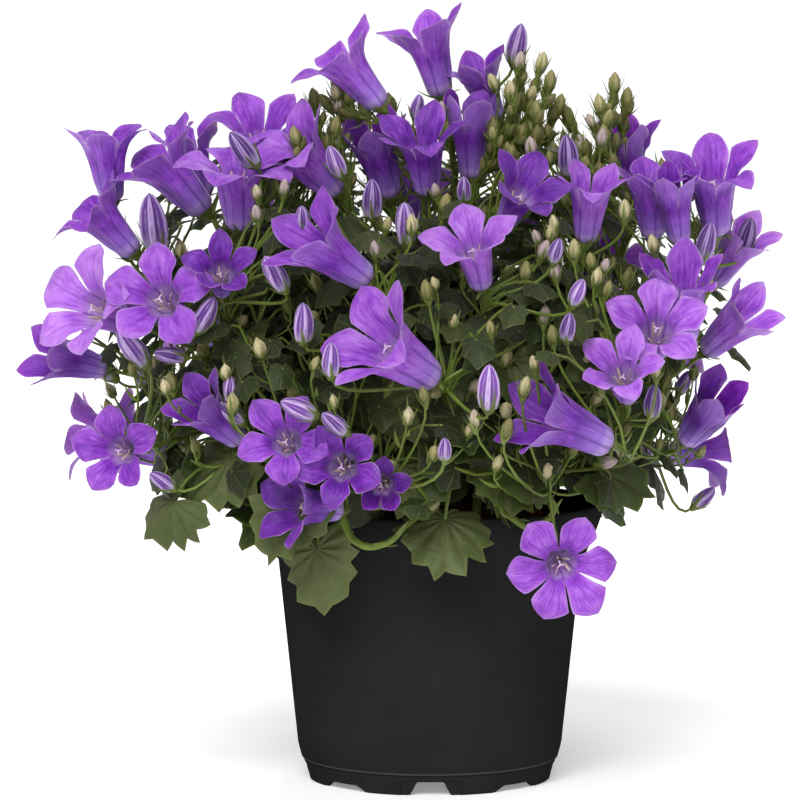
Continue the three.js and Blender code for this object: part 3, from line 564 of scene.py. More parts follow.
def stem_plan():
    """The main stems. Each is a cubic from the soil, at first upright, to a hub that lies out from the
    crown in the stem's own direction."""
    plan = []
    for count, rise, foot_radius, turn in STEM_RINGS:
        for i in range(count):
            yaw = turn + 360 * i / count
            direction = facing(yaw, rise)
            flat = facing(yaw, 0)
            foot = np.array([CROWN[0] + flat[0] * foot_radius, flat[1] * foot_radius, SOIL_LEVEL])
            hub = CROWN + direction * HUB_REACH + UP * HUB_RISE
            corners = (foot + UP * STEM_FOOT_RISE, foot + UP * FOOT_PULL, hub - direction * HUB_PULL, hub)
            plan.append(Stem(direction, foot, corners, run(corners, 5)))
    return plan


def side_stalk(stems, index, end, arrival):
    """A side stem leaves its main stem and arrives at its end along the given direction. One that ends
    low and outside arches over the pot's rim first."""
    stem = stems[index]
    stem.branches += 1
    share = LOWEST_BRANCH + (1 - LOWEST_BRANCH) * ((stem.branches * GOLDEN_RATIO) % 1)
    start = point_on(stem.places, share)
    reach = np.linalg.norm(end - start)
    if math.hypot(end[0], end[1]) > ARCH_OUTSIDE and end[2] < POT_HEIGHT + ARCH_BELOW:
        high = POT_HEIGHT + ARCH_RISE
        first = start + (end - start) * 0.35
        second = start + (end - start) * 0.9
        first[2] = high
        second[2] = max(high, end[2] + ARCH_DROP)
    else:
        first = start + (end - start) * 0.3 + stem.direction * 0.08 * reach
        second = end - arrival * 0.35 * reach
    places = bezier((start, first, second, end), (0, 0.5, 1))
    return Stalk(index, places, (bezier(stem.corners, share)[0], first, second, end))


def stem_for(stems, place):
    """The number of the main stem that leads most nearly from the crown to the place."""
    toward = unit(place - CROWN)
    return int(np.argmax([stem.direction @ toward for stem in stems]))


def side_bud(places, share, turn, length):
    """A small green bud that springs sideways and upwards from a stem."""
    tangent = direction_on(places, share)
    return Bud(point_on(places, share), unit(beside(tangent, turn) + tangent + 0.4 * UP), length)


def nearest_joint(bud, stalks):
    """The stalk that a bud hangs from, and the share of its length where it does."""
    best = (None, 0, math.inf)
    for stalk in stalks:
        for i in range(1, BUD_JOINTS):
            start = point_on(stalk.places, i / BUD_JOINTS)
            reach = np.linalg.norm(start - bud.base) + (20 if start[2] > bud.base[2] else 0)
            if reach < best[2]:
                best = (stalk, i / BUD_JOINTS, reach)
    return best[0], best[1]


def stem_rows():
    """Points along every main stem and stalk that lie over the rim or well within it, with the way that
    each runs and the stem that it is on."""
    points = []
    ways = []
    owners = []
    runs = [(i, stem.corners) for i, stem in enumerate(stems)]
    runs += [(stalk.stem, stalk.corners) for stalk in stalks]
    for index, corners in runs:
        shares = np.linspace(0.2, 0.94, 16)
        here = bezier(corners, shares)
        over_rim = here[:, 2] > POT_HEIGHT + JOINTS_OVER_RIM
        shares = shares[over_rim | (np.hypot(*here.T[:2]) < JOINTS_WITHIN)]
        here = bezier(corners, shares)
        points.append(here)
        ways.append(unit(bezier(corners, shares + 0.03) - here))
        owners.append(np.full(len(shares), index))
    return np.concatenate(points), np.concatenate(ways), np.concatenate(owners)


def joint_below(place, rows):
    """The point of a stem from which a shoot can climb to the place, which costs least: the distance, 1.5
    times what it lies aside beyond 0.7 of the climb, a drawn amount, and 100 if it climbs under 3."""
    points, ways, owners = rows
    climb = place[2] - points[:, 2]
    level = np.hypot(*(place - points).T[:2])
    cost = np.linalg.norm(place - points, axis=1) + 1.5 * np.clip(level - 0.7 * climb, 0, None)
    nearest = int(np.argmin(cost + 100 * (climb < 3) + rng.uniform(0, JOINT_SPREAD, len(cost))))
    return points[nearest], ways[nearest], int(owners[nearest])


def passes_through(places, base, axes, length):
    """Whether a row of stretches goes from one side of a blade to the other within its outline, worked
    out where a stretch meets the blade's plane."""
    local = (places - base) @ axes.T / np.array([length, length, 1])
    for before, after in zip(local, local[1:]):
        if before[2] * after[2] >= 0:
            continue
        x, y, _ = before + (after - before) * before[2] / (before[2] - after[2])
        if -0.1 < x < 1.05 and abs(y) < 0.6:
            return True
    return False


def stem_leaf(stem, places, share, length, rows):
    """A leaf springs from a stem in the turn in which the fewest other stems pass through its blade."""
    place = point_on(places, share)
    tangent = direction_on(places, share)
    outward = unit((place - CROWN) * np.array([1, 1, 0]))
    best = (None, math.inf)
    for i in range(LEAF_TURNS):
        reach = unit(beside(tangent, 360 * i / LEAF_TURNS) + outward * 0.6 + tangent * 0.4)
        side = unit(np.cross(reach, tangent))
        face = unit(np.cross(side, reach))
        face = -face if face[2] < 0 else face
        axes = np.array([reach, np.cross(face, reach), face])
        foreign = [row for row in rows if row is not places]
        crossings = sum(passes_through(row, place, axes, length) for row in foreign)
        if crossings < best[1]:
            best = (axes, crossings)
    return Leaf(stem, place - best[0][0] * LEAF_ROOT * length, best[0], length)


# Shapes. Each is a set of points with triangles, a place on the surface for every point (along, across
# and side), and how near the point lies to an edge, from 0 to 1

def grid_faces(rows, columns, wrap=False):
    """Two triangles for each cell of a grid, whose last column joins the first when it wraps."""
    last = columns if wrap else columns - 1
    row, column = np.meshgrid(np.arange(rows - 1), np.arange(last), indexing="ij")
    a = row * columns + column
    b = row * columns + (column + 1) % columns
    return np.stack([a, b, b + columns, a, b + columns, a + columns], -1).reshape(-1, 3)


def two_sides(along, across):
    """Surface places of two skins with the same along and across: side is 0 on the first and 1 on the
    second."""
    skins = [np.stack([along, across, 0 * along + side], -1) for side in (0, 1)]
    return np.concatenate([skin.reshape(-1, 3) for skin in skins])


def spoke(angle):
    """The direction out from an axis at an angle round it, and the one that runs round it there."""
    cos, sin = math.cos(angle), math.sin(angle)
    return np.array([cos, sin, 0]), np.array([-sin, cos, 0])


def tube(path, radii, sides, flat=1.0, wide=None):
    """A stalk along a path: point = path + radius (cos turn across + flat sin turn up), where across is
    square to the path and up is square to both. A pole closes each end."""
    path = np.asarray(path, float)
    radii = np.broadcast_to(radii, len(path))
    tangent = unit(np.gradient(path, axis=0))
    if wide is None:
        wide = np.cross(path[len(path) // 2] - path[0], path[-1] - path[0]) + np.array([5e-5, 9e-5, 3e-5])
    across = unit(wide - tangent * (tangent @ wide)[:, None])
    up = np.cross(tangent, across)
    turn = 2 * math.pi * np.arange(sides) / sides
    round_it = np.cos(turn)[:, None] * across[:, None] + flat * np.sin(turn)[:, None] * up[:, None]
    rings = np.concatenate([
        np.repeat(path[:1, None], sides, 1),
        path[:, None] + radii[:, None, None] * round_it,
        np.repeat(path[-1:, None], sides, 1),
    ])
    along = np.concatenate([[0], np.linspace(0, 1, len(path)), [1]])
    place = np.zeros((len(path) + 2, sides, 3))
    place[..., 0] = along[:, None]
    place[..., 1] = turn / (2 * math.pi)
    count = len(along) * sides
    return rings.reshape(-1, 3), grid_faces(len(along), sides, True), place.reshape(-1, 3), np.zeros(count)


def turned(profile, sides, axes, origin, folds=0, depth=0.0, twist=0.0):
    """A turned shape: a ring of each profile radius lies at its height round the axes' Z, and swells by
    depth cos(folds (turn - twist height share)). The profile runs from pole to pole, outside in front."""
    profile = np.asarray(profile, float)
    share = np.linspace(0, 1, len(profile))
    turn = 2 * math.pi * np.arange(sides)[None] / sides
    phase = np.cos(folds * (turn - twist * share[:, None]))
    radius = profile[:, :1] * (1 + depth * phase)
    local = np.stack([radius * np.cos(turn), radius * np.sin(turn), profile[:, 1:] + 0 * turn], -1)
    place = np.stack([share[:, None] + 0 * turn, 0.5 + 0.5 * phase, 0 * phase], -1)
    points = local.reshape(-1, 3) @ axes + origin
    return points, grid_faces(len(profile), sides, True), place.reshape(-1, 3), np.zeros(len(points))


def bell(bloom, rng):
    """One bell, as a closed thin shell of petals that share their seams along the tube.

    Each petal is a grid of rows from the foot's pole to the lobe's tip and columns across it. A row has
    its middle at a radius and height that follow the petal's lean, a half width w and a bend of radius
    rho, so that point = middle + rho (D - n), where the turn is column w / rho, D = n cos turn +
    sideways sin turn, and n is straight out in the tube and square to the petal in the lobe. Ribs, folds
    and waves move the point along D, and so does the wall's thickness for the inner side.
    """
    size = bloom.size
    petals = bloom.petals
    half = math.pi / petals
    height = BELL_LENGTH * size * TUBE_SHARE
    throat = THROAT_RADIUS * size
    foot = BELL_FOOT_RADIUS * size
    rise = BELL_FOOT_RISE * size
    columns = np.linspace(-1, 1, BELL_COLUMNS)

    quarter = np.linspace(0, math.pi / 2, FOOT_ROWS, endpoint=False)
    up_tube = np.linspace(0, 1, TUBE_ROWS)
    swell = 0.5 * up_tube + 0.12 * np.sin(math.pi * up_tube) + 0.5 * up_tube**3
    tube_radius = np.concatenate([foot * np.sin(quarter), foot + (throat - foot) * swell])
    tube_height = np.concatenate([rise * (1 - np.cos(quarter)), rise + (height - rise) * up_tube])
    tube_lean = np.arctan2(np.gradient(tube_radius), np.gradient(tube_height))
    throat_lean = math.atan(1.6 * (throat - foot) / (height - rise))

    tau = np.linspace(0, 1, LOBE_ROWS + 1)
    spread = np.radians(bloom.flare + TIP_FLARE + rng.uniform(-9, 9, (petals, 1)))
    curl = np.radians(rng.uniform(-18, 30, (petals, 1)))
    angles = 2 * half * np.arange(petals)
    axes = frame_along(bloom.axis, bloom.petal_angle)
    if bloom.curl:
        toward = np.stack([np.cos(angles), np.sin(angles)], -1) @ axes[:2]
        front = np.argmin(toward[:, 1] - 0.3 * toward[:, 2])
        curl[front] = math.radians(bloom.curl)
    reach = LOBE_LENGTH * size * rng.uniform(0.95, 1.05, (petals, 1)) * (SIX_LONGER if petals == 6 else 1)
    lean = throat_lean + (spread - throat_lean) / 0.625 * tau**0.6 + curl * smooth((tau - 0.3) / 0.7)
    step = reach / LOBE_ROWS / 2
    out = np.cumsum(step * (np.sin(lean[:, 1:]) + np.sin(lean[:, :-1])), axis=1)
    ahead = np.cumsum(step * (np.cos(lean[:, 1:]) + np.cos(lean[:, :-1])), axis=1)
    tau = tau[1:]

    star = smooth((bloom.flare - 30) / 30)
    widest = LOBE_HALF_WIDTH * size * (1 + STAR_WIDTH * star) * rng.uniform(0.93, 1.07, (petals, 1))
    widest = widest * (SIX_WIDER if petals == 6 else 1)
    body = half * throat + (1.09 * widest - half * throat) * np.sin(math.pi / 2 * np.clip(tau / 0.45, 0, 1))
    width = body * (1 - tau**2.8) ** 0.82
    width = np.minimum(width, half * (throat + out) * (1 - 0.03 * smooth(tau / 0.15)))
    openness = np.clip(np.degrees(spread) / 60, 0.1, 1.1)
    bend = throat * (1 + (0.5 + 2.2 * openness) * tau)

    def rows(tube_part, lobe_part):
        low = np.broadcast_to(tube_part, (petals, len(tube_radius)))
        return np.concatenate([low, lobe_part], axis=1)[..., None]

    middle_radius = rows(tube_radius, throat + out)
    middle_height = rows(tube_height, height + ahead)
    row_lean = rows(tube_lean, lean[:, 1:])
    squared = rows(np.zeros(1), np.broadcast_to(smooth(tau / 0.35), out.shape))
    rho = rows(tube_radius, bend)
    turn = columns * rows(np.full(1, half), width / bend)
    share = rows(np.concatenate([np.zeros(FOOT_ROWS), up_tube]), np.ones_like(out))
    lobe_share = rows(np.zeros(1), np.broadcast_to(tau, out.shape))
    n_out = 1 - squared + np.cos(row_lean) * squared
    n_up = -np.sin(row_lean) * squared
    length = np.hypot(n_out, n_up)
    n_out, n_up = n_out / length, n_up / length
    way = np.stack([n_out * np.cos(turn), np.sin(turn), n_up * np.cos(turn)], -1)
    level = np.stack([n_out + 0 * turn, 0 * turn, n_up + 0 * turn], -1)
    middle = np.stack([middle_radius + 0 * turn, 0 * turn, middle_height + 0 * turn], -1)
    tilt = (row_lean * (1 - squared))[..., None]
    outward = way * np.cos(tilt) - UP * np.sin(tilt)

    fade = smooth(2.2 * share) * (1 - smooth(lobe_share / 0.5))
    ribs = size * fade * (0.4 * np.cos(math.pi * columns) + 0.07 * np.cos(3 * math.pi * columns))
    keel = 0.2 * size * np.exp(-((columns / 0.17) ** 2)) * smooth(2 * share) * (1 - lobe_share**2)
    waves = rng.uniform(0, 1, (petals, 1, 1))
    ruffle = 0.75 * size * columns**2 * np.sin(2 * math.pi * (0.8 * lobe_share + waves) + 2.5 * columns)
    ripple = np.sin(2 * math.pi * (2.3 * lobe_share + 3 * waves) + 5 * columns)
    ruffle = ruffle + 0.3 * size * np.abs(columns) * ripple
    trough = -0.9 * size * (1 - columns**2) * smooth(lobe_share / 0.3) * (1 - lobe_share**3)
    soft = ruffle + trough * rng.uniform(0.1, 1.0, (petals, 1, 1))
    relief = ribs + keel + soft * smooth(lobe_share / 0.4) * (1 - lobe_share**6)
    wall = PETAL_THICKNESS * np.where(share < 1, 1.0, 1 - columns**8) * (1 - lobe_share**4)
    sway = rng.uniform(-1, 1, (petals, 1, 1)) * 0.09 * LOBE_LENGTH * size * lobe_share**2
    surface = middle + rho[..., None] * (way - level) + sway[..., None] * np.array([0, 1.0, 0])

    shells = []
    for inside in (0, 1):
        local = surface + outward * (relief - inside * wall)[..., None]
        cos, sin = np.cos(angles)[:, None, None], np.sin(angles)[:, None, None]
        x = local[..., 0] * cos - local[..., 1] * sin
        y = local[..., 0] * sin + local[..., 1] * cos
        shells.append(np.stack([x, y, local[..., 2]], -1))
    points = np.concatenate(shells).reshape(-1, 3) @ axes + bloom.base
    count = surface.shape[1] * BELL_COLUMNS
    single = grid_faces(surface.shape[1], BELL_COLUMNS)
    outer = np.concatenate([single + k * count for k in range(petals)])
    inner = outer[:, ::-1] + petals * count
    along = np.broadcast_to(share + lobe_share, surface.shape[:3])
    across = np.broadcast_to(columns, surface.shape[:3])
    edge = np.maximum(columns**2, lobe_share**6) * smooth(lobe_share / 0.25)
    edge = np.tile(np.broadcast_to(edge, surface.shape[:3]).reshape(-1), 2)
    return points, np.concatenate([outer, inner]), two_sides(along, across), edge


def pistil(bloom, rng):
    """A style with a three-armed stigma and five withered stamens, each a thin stalk. An arm of the stigma
    runs out faster and faster and rises and sinks again as a parabola. A stamen leans out as the square
    of its share of length and sways as a sine."""
    axes = frame_along(bloom.axis, bloom.petal_angle + rng.uniform(0, 72))
    size = bloom.size
    top = BELL_LENGTH * size * rng.uniform(0.78, 0.96)
    shapes = []
    style = np.linspace([0, 0, 2.5 * size], [0.3, 0.2, top], 6)
    shapes.append(tube(style @ axes + bloom.base, np.linspace(0.6, 0.4, 6) * size, 6))
    v = np.linspace(0, 1, 6)[:, None]
    for k in range(3):
        out, _ = spoke(2 * math.pi * k / 3)
        path = style[-1] + 1.6 * size * (out * v**1.6 + UP * (0.9 * v - 0.9 * v**2))
        shapes.append(tube(path @ axes + bloom.base, np.linspace(0.36, 0.26, 6) * size, 5))
    for k in range(5):
        out, side = spoke(2 * math.pi * (k + rng.uniform(-0.2, 0.2)) / 5)
        climb = size * rng.uniform(11, 15)
        path = out * (1.0 + 2.6 * v**2) * size + side * np.sin(4 * v) * size * 0.6
        path = path + UP * (3 * size + climb * v)
        radii = np.array([0.3, 0.3, 0.35, 0.6, 0.6, 0.3]) * size
        shapes.append(tube(path @ axes + bloom.base, radii, 4, 0.6))
    return shapes


def sepals(axes, origin, start, reach, low, high, rng, wild=1.0, steps=7, sides=5):
    """Five thin pointed straps: the radius runs from start to reach, and the height from low to high as
    share to the power 1.4. Each sways by the square of the share and curls by its cube and fourth power,
    by its own amount times wild."""
    shapes = []
    v = np.linspace(0, 1, steps)[:, None]
    for k in range(SEPALS):
        out, side = spoke(2 * math.pi * k / SEPALS)
        far = start + (reach - start) * rng.uniform(0.75, 1.1)
        rise = high - low + wild * rng.uniform(-2.2, 2.2)
        curl = wild * rng.uniform(-1.5, 2.5)
        aside = side * wild * rng.uniform(-1.6, 1.6) * v**2
        path = out * (start + (far - start) * (v - 0.12 * curl * v**3)) + aside
        path = path + UP * (low + rise * v**1.4 - 0.8 * curl * v**4)
        radii = (0.8 * (1 - v[:, 0]) ** 0.8 + 0.13) * min(1, reach / 6)
        shapes.append(tube(path @ axes + origin, radii, sides, 0.35, side @ axes))
    return shapes


def calyx(bloom, rng):
    """The green cup under a bell, turned from a short profile with five ribs, and its five sepals."""
    axes = frame_along(bloom.axis, bloom.petal_angle + 180 / SEPALS)
    size = bloom.size
    profile = [(0, -CALYX_DEPTH - 0.6), (0.8, -CALYX_DEPTH - 0.4), (1.3, -CALYX_DEPTH + 0.4), (1.9, -1.0)]
    profile += [(2.6 * size, -0.1), (3.0 * size, 0.7), (2.7 * size, 0.9), (1.8 * size, 0.1), (0, -0.2)]
    cup = turned(profile, 15, axes, bloom.base, 5, 0.06)
    straps = sepals(axes, bloom.base, 2.5 * size, SEPAL_REACH * size, 0.3, SEPAL_RISE * size, rng)
    return [cup, *straps]


def striped_bud(bud, rng):
    """A pointed bud whose five folds wind a little: radius = half width times a swell that rises from
    the foot and closes at the tip, and ridges where the folded petals meet."""
    v = np.linspace(0, 1, 15)
    width = BUD_SLENDERNESS * bud.length + BUD_EXTRA_WIDTH
    swell = (0.66 + 0.34 * np.sin(math.pi / 2 * np.clip(v / 0.45, 0, 1))) * (1 - v**4) ** 0.72
    swell *= np.sqrt(1 - (1 - np.clip(v / 0.07, 0, 1)) ** 2) / 0.86
    profile = np.stack([width / 2 * swell, bud.length * v], -1)
    axes = frame_along(bud.axis, 30 + rng.uniform(0, 72))
    return turned(profile, 40, axes, bud.base, 5, 0.13, rng.uniform(0.2, 0.5))


def bud_cup(bud, rng, share):
    """The cup and the five sepals that hold a bud's foot."""
    width = BUD_SLENDERNESS * bud.length + BUD_EXTRA_WIDTH
    axes = frame_along(bud.axis, 66 + rng.uniform(0, 72))
    r = width * 0.36
    profile = [(0, -1.6), (0.7, -1.5), (0.75 * r, -0.8), (r, 0.2), (r * 0.95, 0.9), (0, 0.4)]
    cup = turned(profile, 8, axes, bud.base)
    straps = sepals(axes, bud.base, r * 0.9, 0.75 * width + 1.2, 0.2, share * bud.length, rng, 0.6, 5, 4)
    return [cup, *straps]


def green_bud(bud):
    """A small closed bud, widest near its middle: radius = 0.26 length times sin (pi share to the power
    0.85) to the power 0.7."""
    v = np.linspace(0, 1, 8)
    swell = np.sin(math.pi * v**0.85) ** 0.7
    profile = np.stack([0.26 * bud.length * swell, bud.length * v], -1)
    return turned(profile, 10, frame_along(bud.axis, 30), bud.base, 5, 0.07)


def closed_bud(bud):
    """The smallest buds, with few faces: a round body with four soft ribs."""
    profile = bud.length * np.array([(0, 0), (0.2, 0.06), (0.27, 0.32), (0.24, 0.62), (0, 1)])
    return turned(profile, 7, frame_along(bud.axis, 30), bud.base, 4, 0.1)


def spikes(bud, rng, start, reach, low, high, width):
    """Five pointed sepals with few faces: each is a long pyramid on three corners, which leans out from
    the bud's foot by its own amount."""
    turn = 2 * math.pi * (np.arange(SEPALS) + rng.uniform(0, 1)) / SEPALS
    out = np.stack([np.cos(turn), np.sin(turn), 0 * turn], -1)[:, None]
    side = np.stack([-np.sin(turn), np.cos(turn), 0 * turn], -1)[:, None]
    far = rng.uniform(0.8, 1.25, (SEPALS, 1, 1))
    tip = np.array([0, 0, 0, 1])[None, :, None]
    radius = np.array([start, start, start * 0.5, 0])[None, :, None] + tip * reach * far
    aside = np.array([1, -1, 0, 0])[None, :, None] * width
    height = np.array([low, low, low - width, 0])[None, :, None] + tip * high * far
    local = out * radius + side * aside + UP * height
    points = bud.length * local.reshape(-1, 3) @ frame_along(bud.axis, 30) + bud.base
    faces = np.array([(0, 2, 1), (0, 1, 3), (1, 2, 3), (2, 0, 3)])
    faces = (faces[None] + 4 * np.arange(SEPALS)[:, None, None]).reshape(-1, 3)
    place = np.tile(np.array([(0.1, 0, 0)] * 3 + [(0.9, 0, 0)]), (SEPALS, 1))
    return points, faces, place, np.zeros(len(points))


def bract(place, out, tangent, length):
    """A narrow pointed leaf beside a stalk: a flat tube whose path leans out by 0.75 v - 0.15 v squared of
    its length and bows up along the stalk by 0.2 v + 0.6 v squared."""
    v = np.linspace(0, 1, 5)[:, None]
    path = place + length * (out * (0.75 * v - 0.15 * v**2) + tangent * (0.2 * v + 0.6 * v**2))
    side = np.cross(tangent, out)
    return tube(path, length * np.array([0.05, 0.11, 0.13, 0.09, 0.02]), 3, 0.25, side)


def small_blade(leaf):
    """A small toothed blade with few faces: a fan of fourteen turns and three rings in two skins. Its
    margin's radius falls from 1 at the tip to a half at the sides and in at the notch, every other turn
    is a tooth's gap, and the height sinks on both sides of the midrib and towards the tip."""
    turns = 14
    angle = 2 * math.pi * (np.arange(turns) + 0.5) / turns - math.pi
    off = np.abs(angle)
    heart = 0.5 + 0.5 * np.exp(-((off / 0.8) ** 1.6))
    notch = 1 - 0.8 * np.exp(-(((math.pi - off) / 0.6) ** 2))
    margin = heart * notch * (1 - 0.18 * (np.arange(turns) % 2))
    ring = np.array([0.0, 0.55, 1.0])[:, None]
    u = ring * margin * np.cos(angle)
    v = ring * margin * np.sin(angle)
    height = leaf.length * (-0.5 * np.abs(v) ** 1.3 - 0.25 * np.clip(u, 0, 1) ** 2)
    skins = []
    for under in (0, 1):
        z = height - under * BLADE_THICKNESS * (1 - ring)
        skins.append(np.stack([leaf.length * (u + 0.08), leaf.length * v, z], -1))
    points = np.concatenate(skins).reshape(-1, 3) @ leaf.frame + leaf.base
    outer = grid_faces(3, turns, True)[:, ::-1]
    faces = np.concatenate([outer, outer[:, ::-1] + 3 * turns])
    return points, faces, two_sides(u, v), np.tile((ring + 0 * u).reshape(-1), 2)


def leaf_blade(leaf, rng, teeth=11, per_tooth=6, rings=8, cut=0.15):
    """A toothed heart-shaped blade as two skins that meet at the margin.

    A grid of turns round the stalk's joint and rings out to the margin. The margin's radius is 1 at the
    tip and about a half at the sides, falls in at the notch, and runs out in teeth that lean forward.
    The height bows down from the midrib, waves near the margin and sinks along the veins."""
    turns = teeth * per_tooth
    angle = 2 * math.pi * np.arange(turns) / turns - math.pi
    off = np.abs(angle)
    heart = 0.7 + 0.3 * np.exp(-((off / 0.6) ** 1.6))
    notch = 1 - 0.93 * np.exp(-(((math.pi - off) / 0.55) ** 2))
    saw = (off * teeth / (2 * math.pi) + 0.5 * (teeth % 2 == 0)) % 1
    tooth = np.where(saw < 0.3, 1 - saw / 0.3, (saw - 0.3) / 0.7)
    depth = cut * rng.uniform(0.8, 1.2) * (1 + 0.4 * np.sin(2.7 * angle + rng.uniform(0, 6)))
    heart = heart * (1 + 0.07 * np.sin(2 * angle + rng.uniform(0, 6)))
    margin = heart * notch * (1 + depth * (tooth - 0.6) * smooth((math.pi - off) / 0.7))
    ring = np.linspace(0, 1, rings)[:, None] ** 0.85
    radius = ring * margin[None]
    u = radius * np.cos(angle)
    v = radius * np.sin(angle)
    bow = rng.uniform(-0.45, 0.25) * np.abs(v) ** 1.3 - rng.uniform(0.05, 0.35) * np.clip(u, 0, 1) ** 2
    wave = 0.07 * ring**3 * np.sin(3 * angle + rng.uniform(0, 6))
    wave = wave + 0.04 * ring**4 * np.sin(8 * angle + rng.uniform(0, 6))
    veins = -0.02 * np.cos(11 * angle) * ring * (1 - ring) * 4
    shift = LEAF_ROOT + 0.01
    length = leaf.length / (1 + shift)
    height = length * (bow + wave + veins) + BLADE_RISE * (1 - ring**2)
    skins = []
    for under in (0, 1):
        z = height - under * BLADE_THICKNESS * (1 - ring**6)
        skins.append(np.stack([length * (u + shift), length * v, z + 0 * u], -1))
    points = np.concatenate(skins).reshape(-1, 3) @ leaf.frame + leaf.base
    outer = grid_faces(rings, turns, True)[:, ::-1]
    faces = np.concatenate([outer, outer[:, ::-1] + rings * turns])
    return points, faces, two_sides(u, v), np.tile((ring + 0 * u).reshape(-1), 2)


def crumbs(count, rng):
    """Small lumps of soil: one lumpy ball of twelve corners, scaled, turned and set down count times."""
    gold = (1 + math.sqrt(5)) / 2
    ball = unit(np.array([(0, s, t * gold) for s in (-1, 1) for t in (-1, 1)], float))
    ball = np.concatenate([ball, np.roll(ball, 1, 1), np.roll(ball, 2, 1)])
    near = np.linalg.norm(ball[:, None] - ball[None], axis=-1) < 1.1
    corners = np.array([(i, j, k) for i in range(12) for j in range(i) for k in range(j)])
    i, j, k = corners.T
    faces = corners[near[i, j] & near[j, k] & near[i, k]]
    a, b, c = (ball[faces[:, i]] for i in range(3))
    inward = np.einsum("ij,ij->i", np.cross(b - a, c - a), a) < 0
    faces[inward] = faces[inward][:, ::-1]
    radius = SOIL_TOP_RADIUS * 0.97 * np.sqrt(rng.uniform(0, 1, count))
    turn = rng.uniform(0, 2 * math.pi, count)
    x, y = radius * np.cos(turn), radius * np.sin(turn)
    centre = np.stack([x, y, soil_height(x, y) + 0.2], -1)
    lumps = ball[None] * rng.uniform(0.6, 1.3, (count, 12, 1)) * rng.uniform(0.5, 1.5, (count, 1, 3))
    points = centre[:, None] + CRUMB_RADIUS * rng.uniform(0.5, 1.3, (count, 1, 1)) * lumps
    all_faces = faces[None] + 12 * np.arange(count)[:, None, None]
    return points.reshape(-1, 3), all_faces.reshape(-1, 3), np.zeros((12 * count, 3)), np.zeros(12 * count)


def soil_height(x, y):
    """Level of the soil: SOIL_LEVEL with a mound that falls as the square of the distance from the middle,
    long and short waves that are products of sines, and a drop towards the wall as the distance's cube."""
    away = np.hypot(x, y) / SOIL_TOP_RADIUS
    long_waves = 1.1 * np.sin(0.31 * x + 1) * np.cos(0.27 * y + 0.4)
    short_waves = 0.5 * np.sin(0.9 * x + 0.6 * y) * np.sin(0.8 * y - 0.5 * x + 2)
    waves = (long_waves + short_waves) * (1 - away**4)
    return SOIL_LEVEL + SOIL_MOUND * (1 - away**2) + waves - 1.5 * away**3


def soil_body():
    """A closed disc: rings out over the bumpy top, down the pot's wall and back under the root ball."""
    turn = 2 * math.pi * np.arange(SOIL_SIDES)[None] / SOIL_SIDES
    top = np.linspace(0, SOIL_TOP_RADIUS, SOIL_RINGS)[:, None]
    x, y = top * np.cos(turn), top * np.sin(turn)
    rings = np.stack([x, y, soil_height(x, y)], -1)
    low = [(48.7, 73.5), (41.2, 10.4), (38.6, 7.4), (0, 7.4)]
    wall = np.array([[(r * np.cos(t), r * np.sin(t), z) for t in turn[0]] for r, z in low])
    points = np.concatenate([rings, wall])
    faces = grid_faces(len(points), SOIL_SIDES, True)[:, ::-1]
    count = points.shape[0] * SOIL_SIDES
    return points.reshape(-1, 3), faces, np.zeros((count, 3)), np.zeros(count)


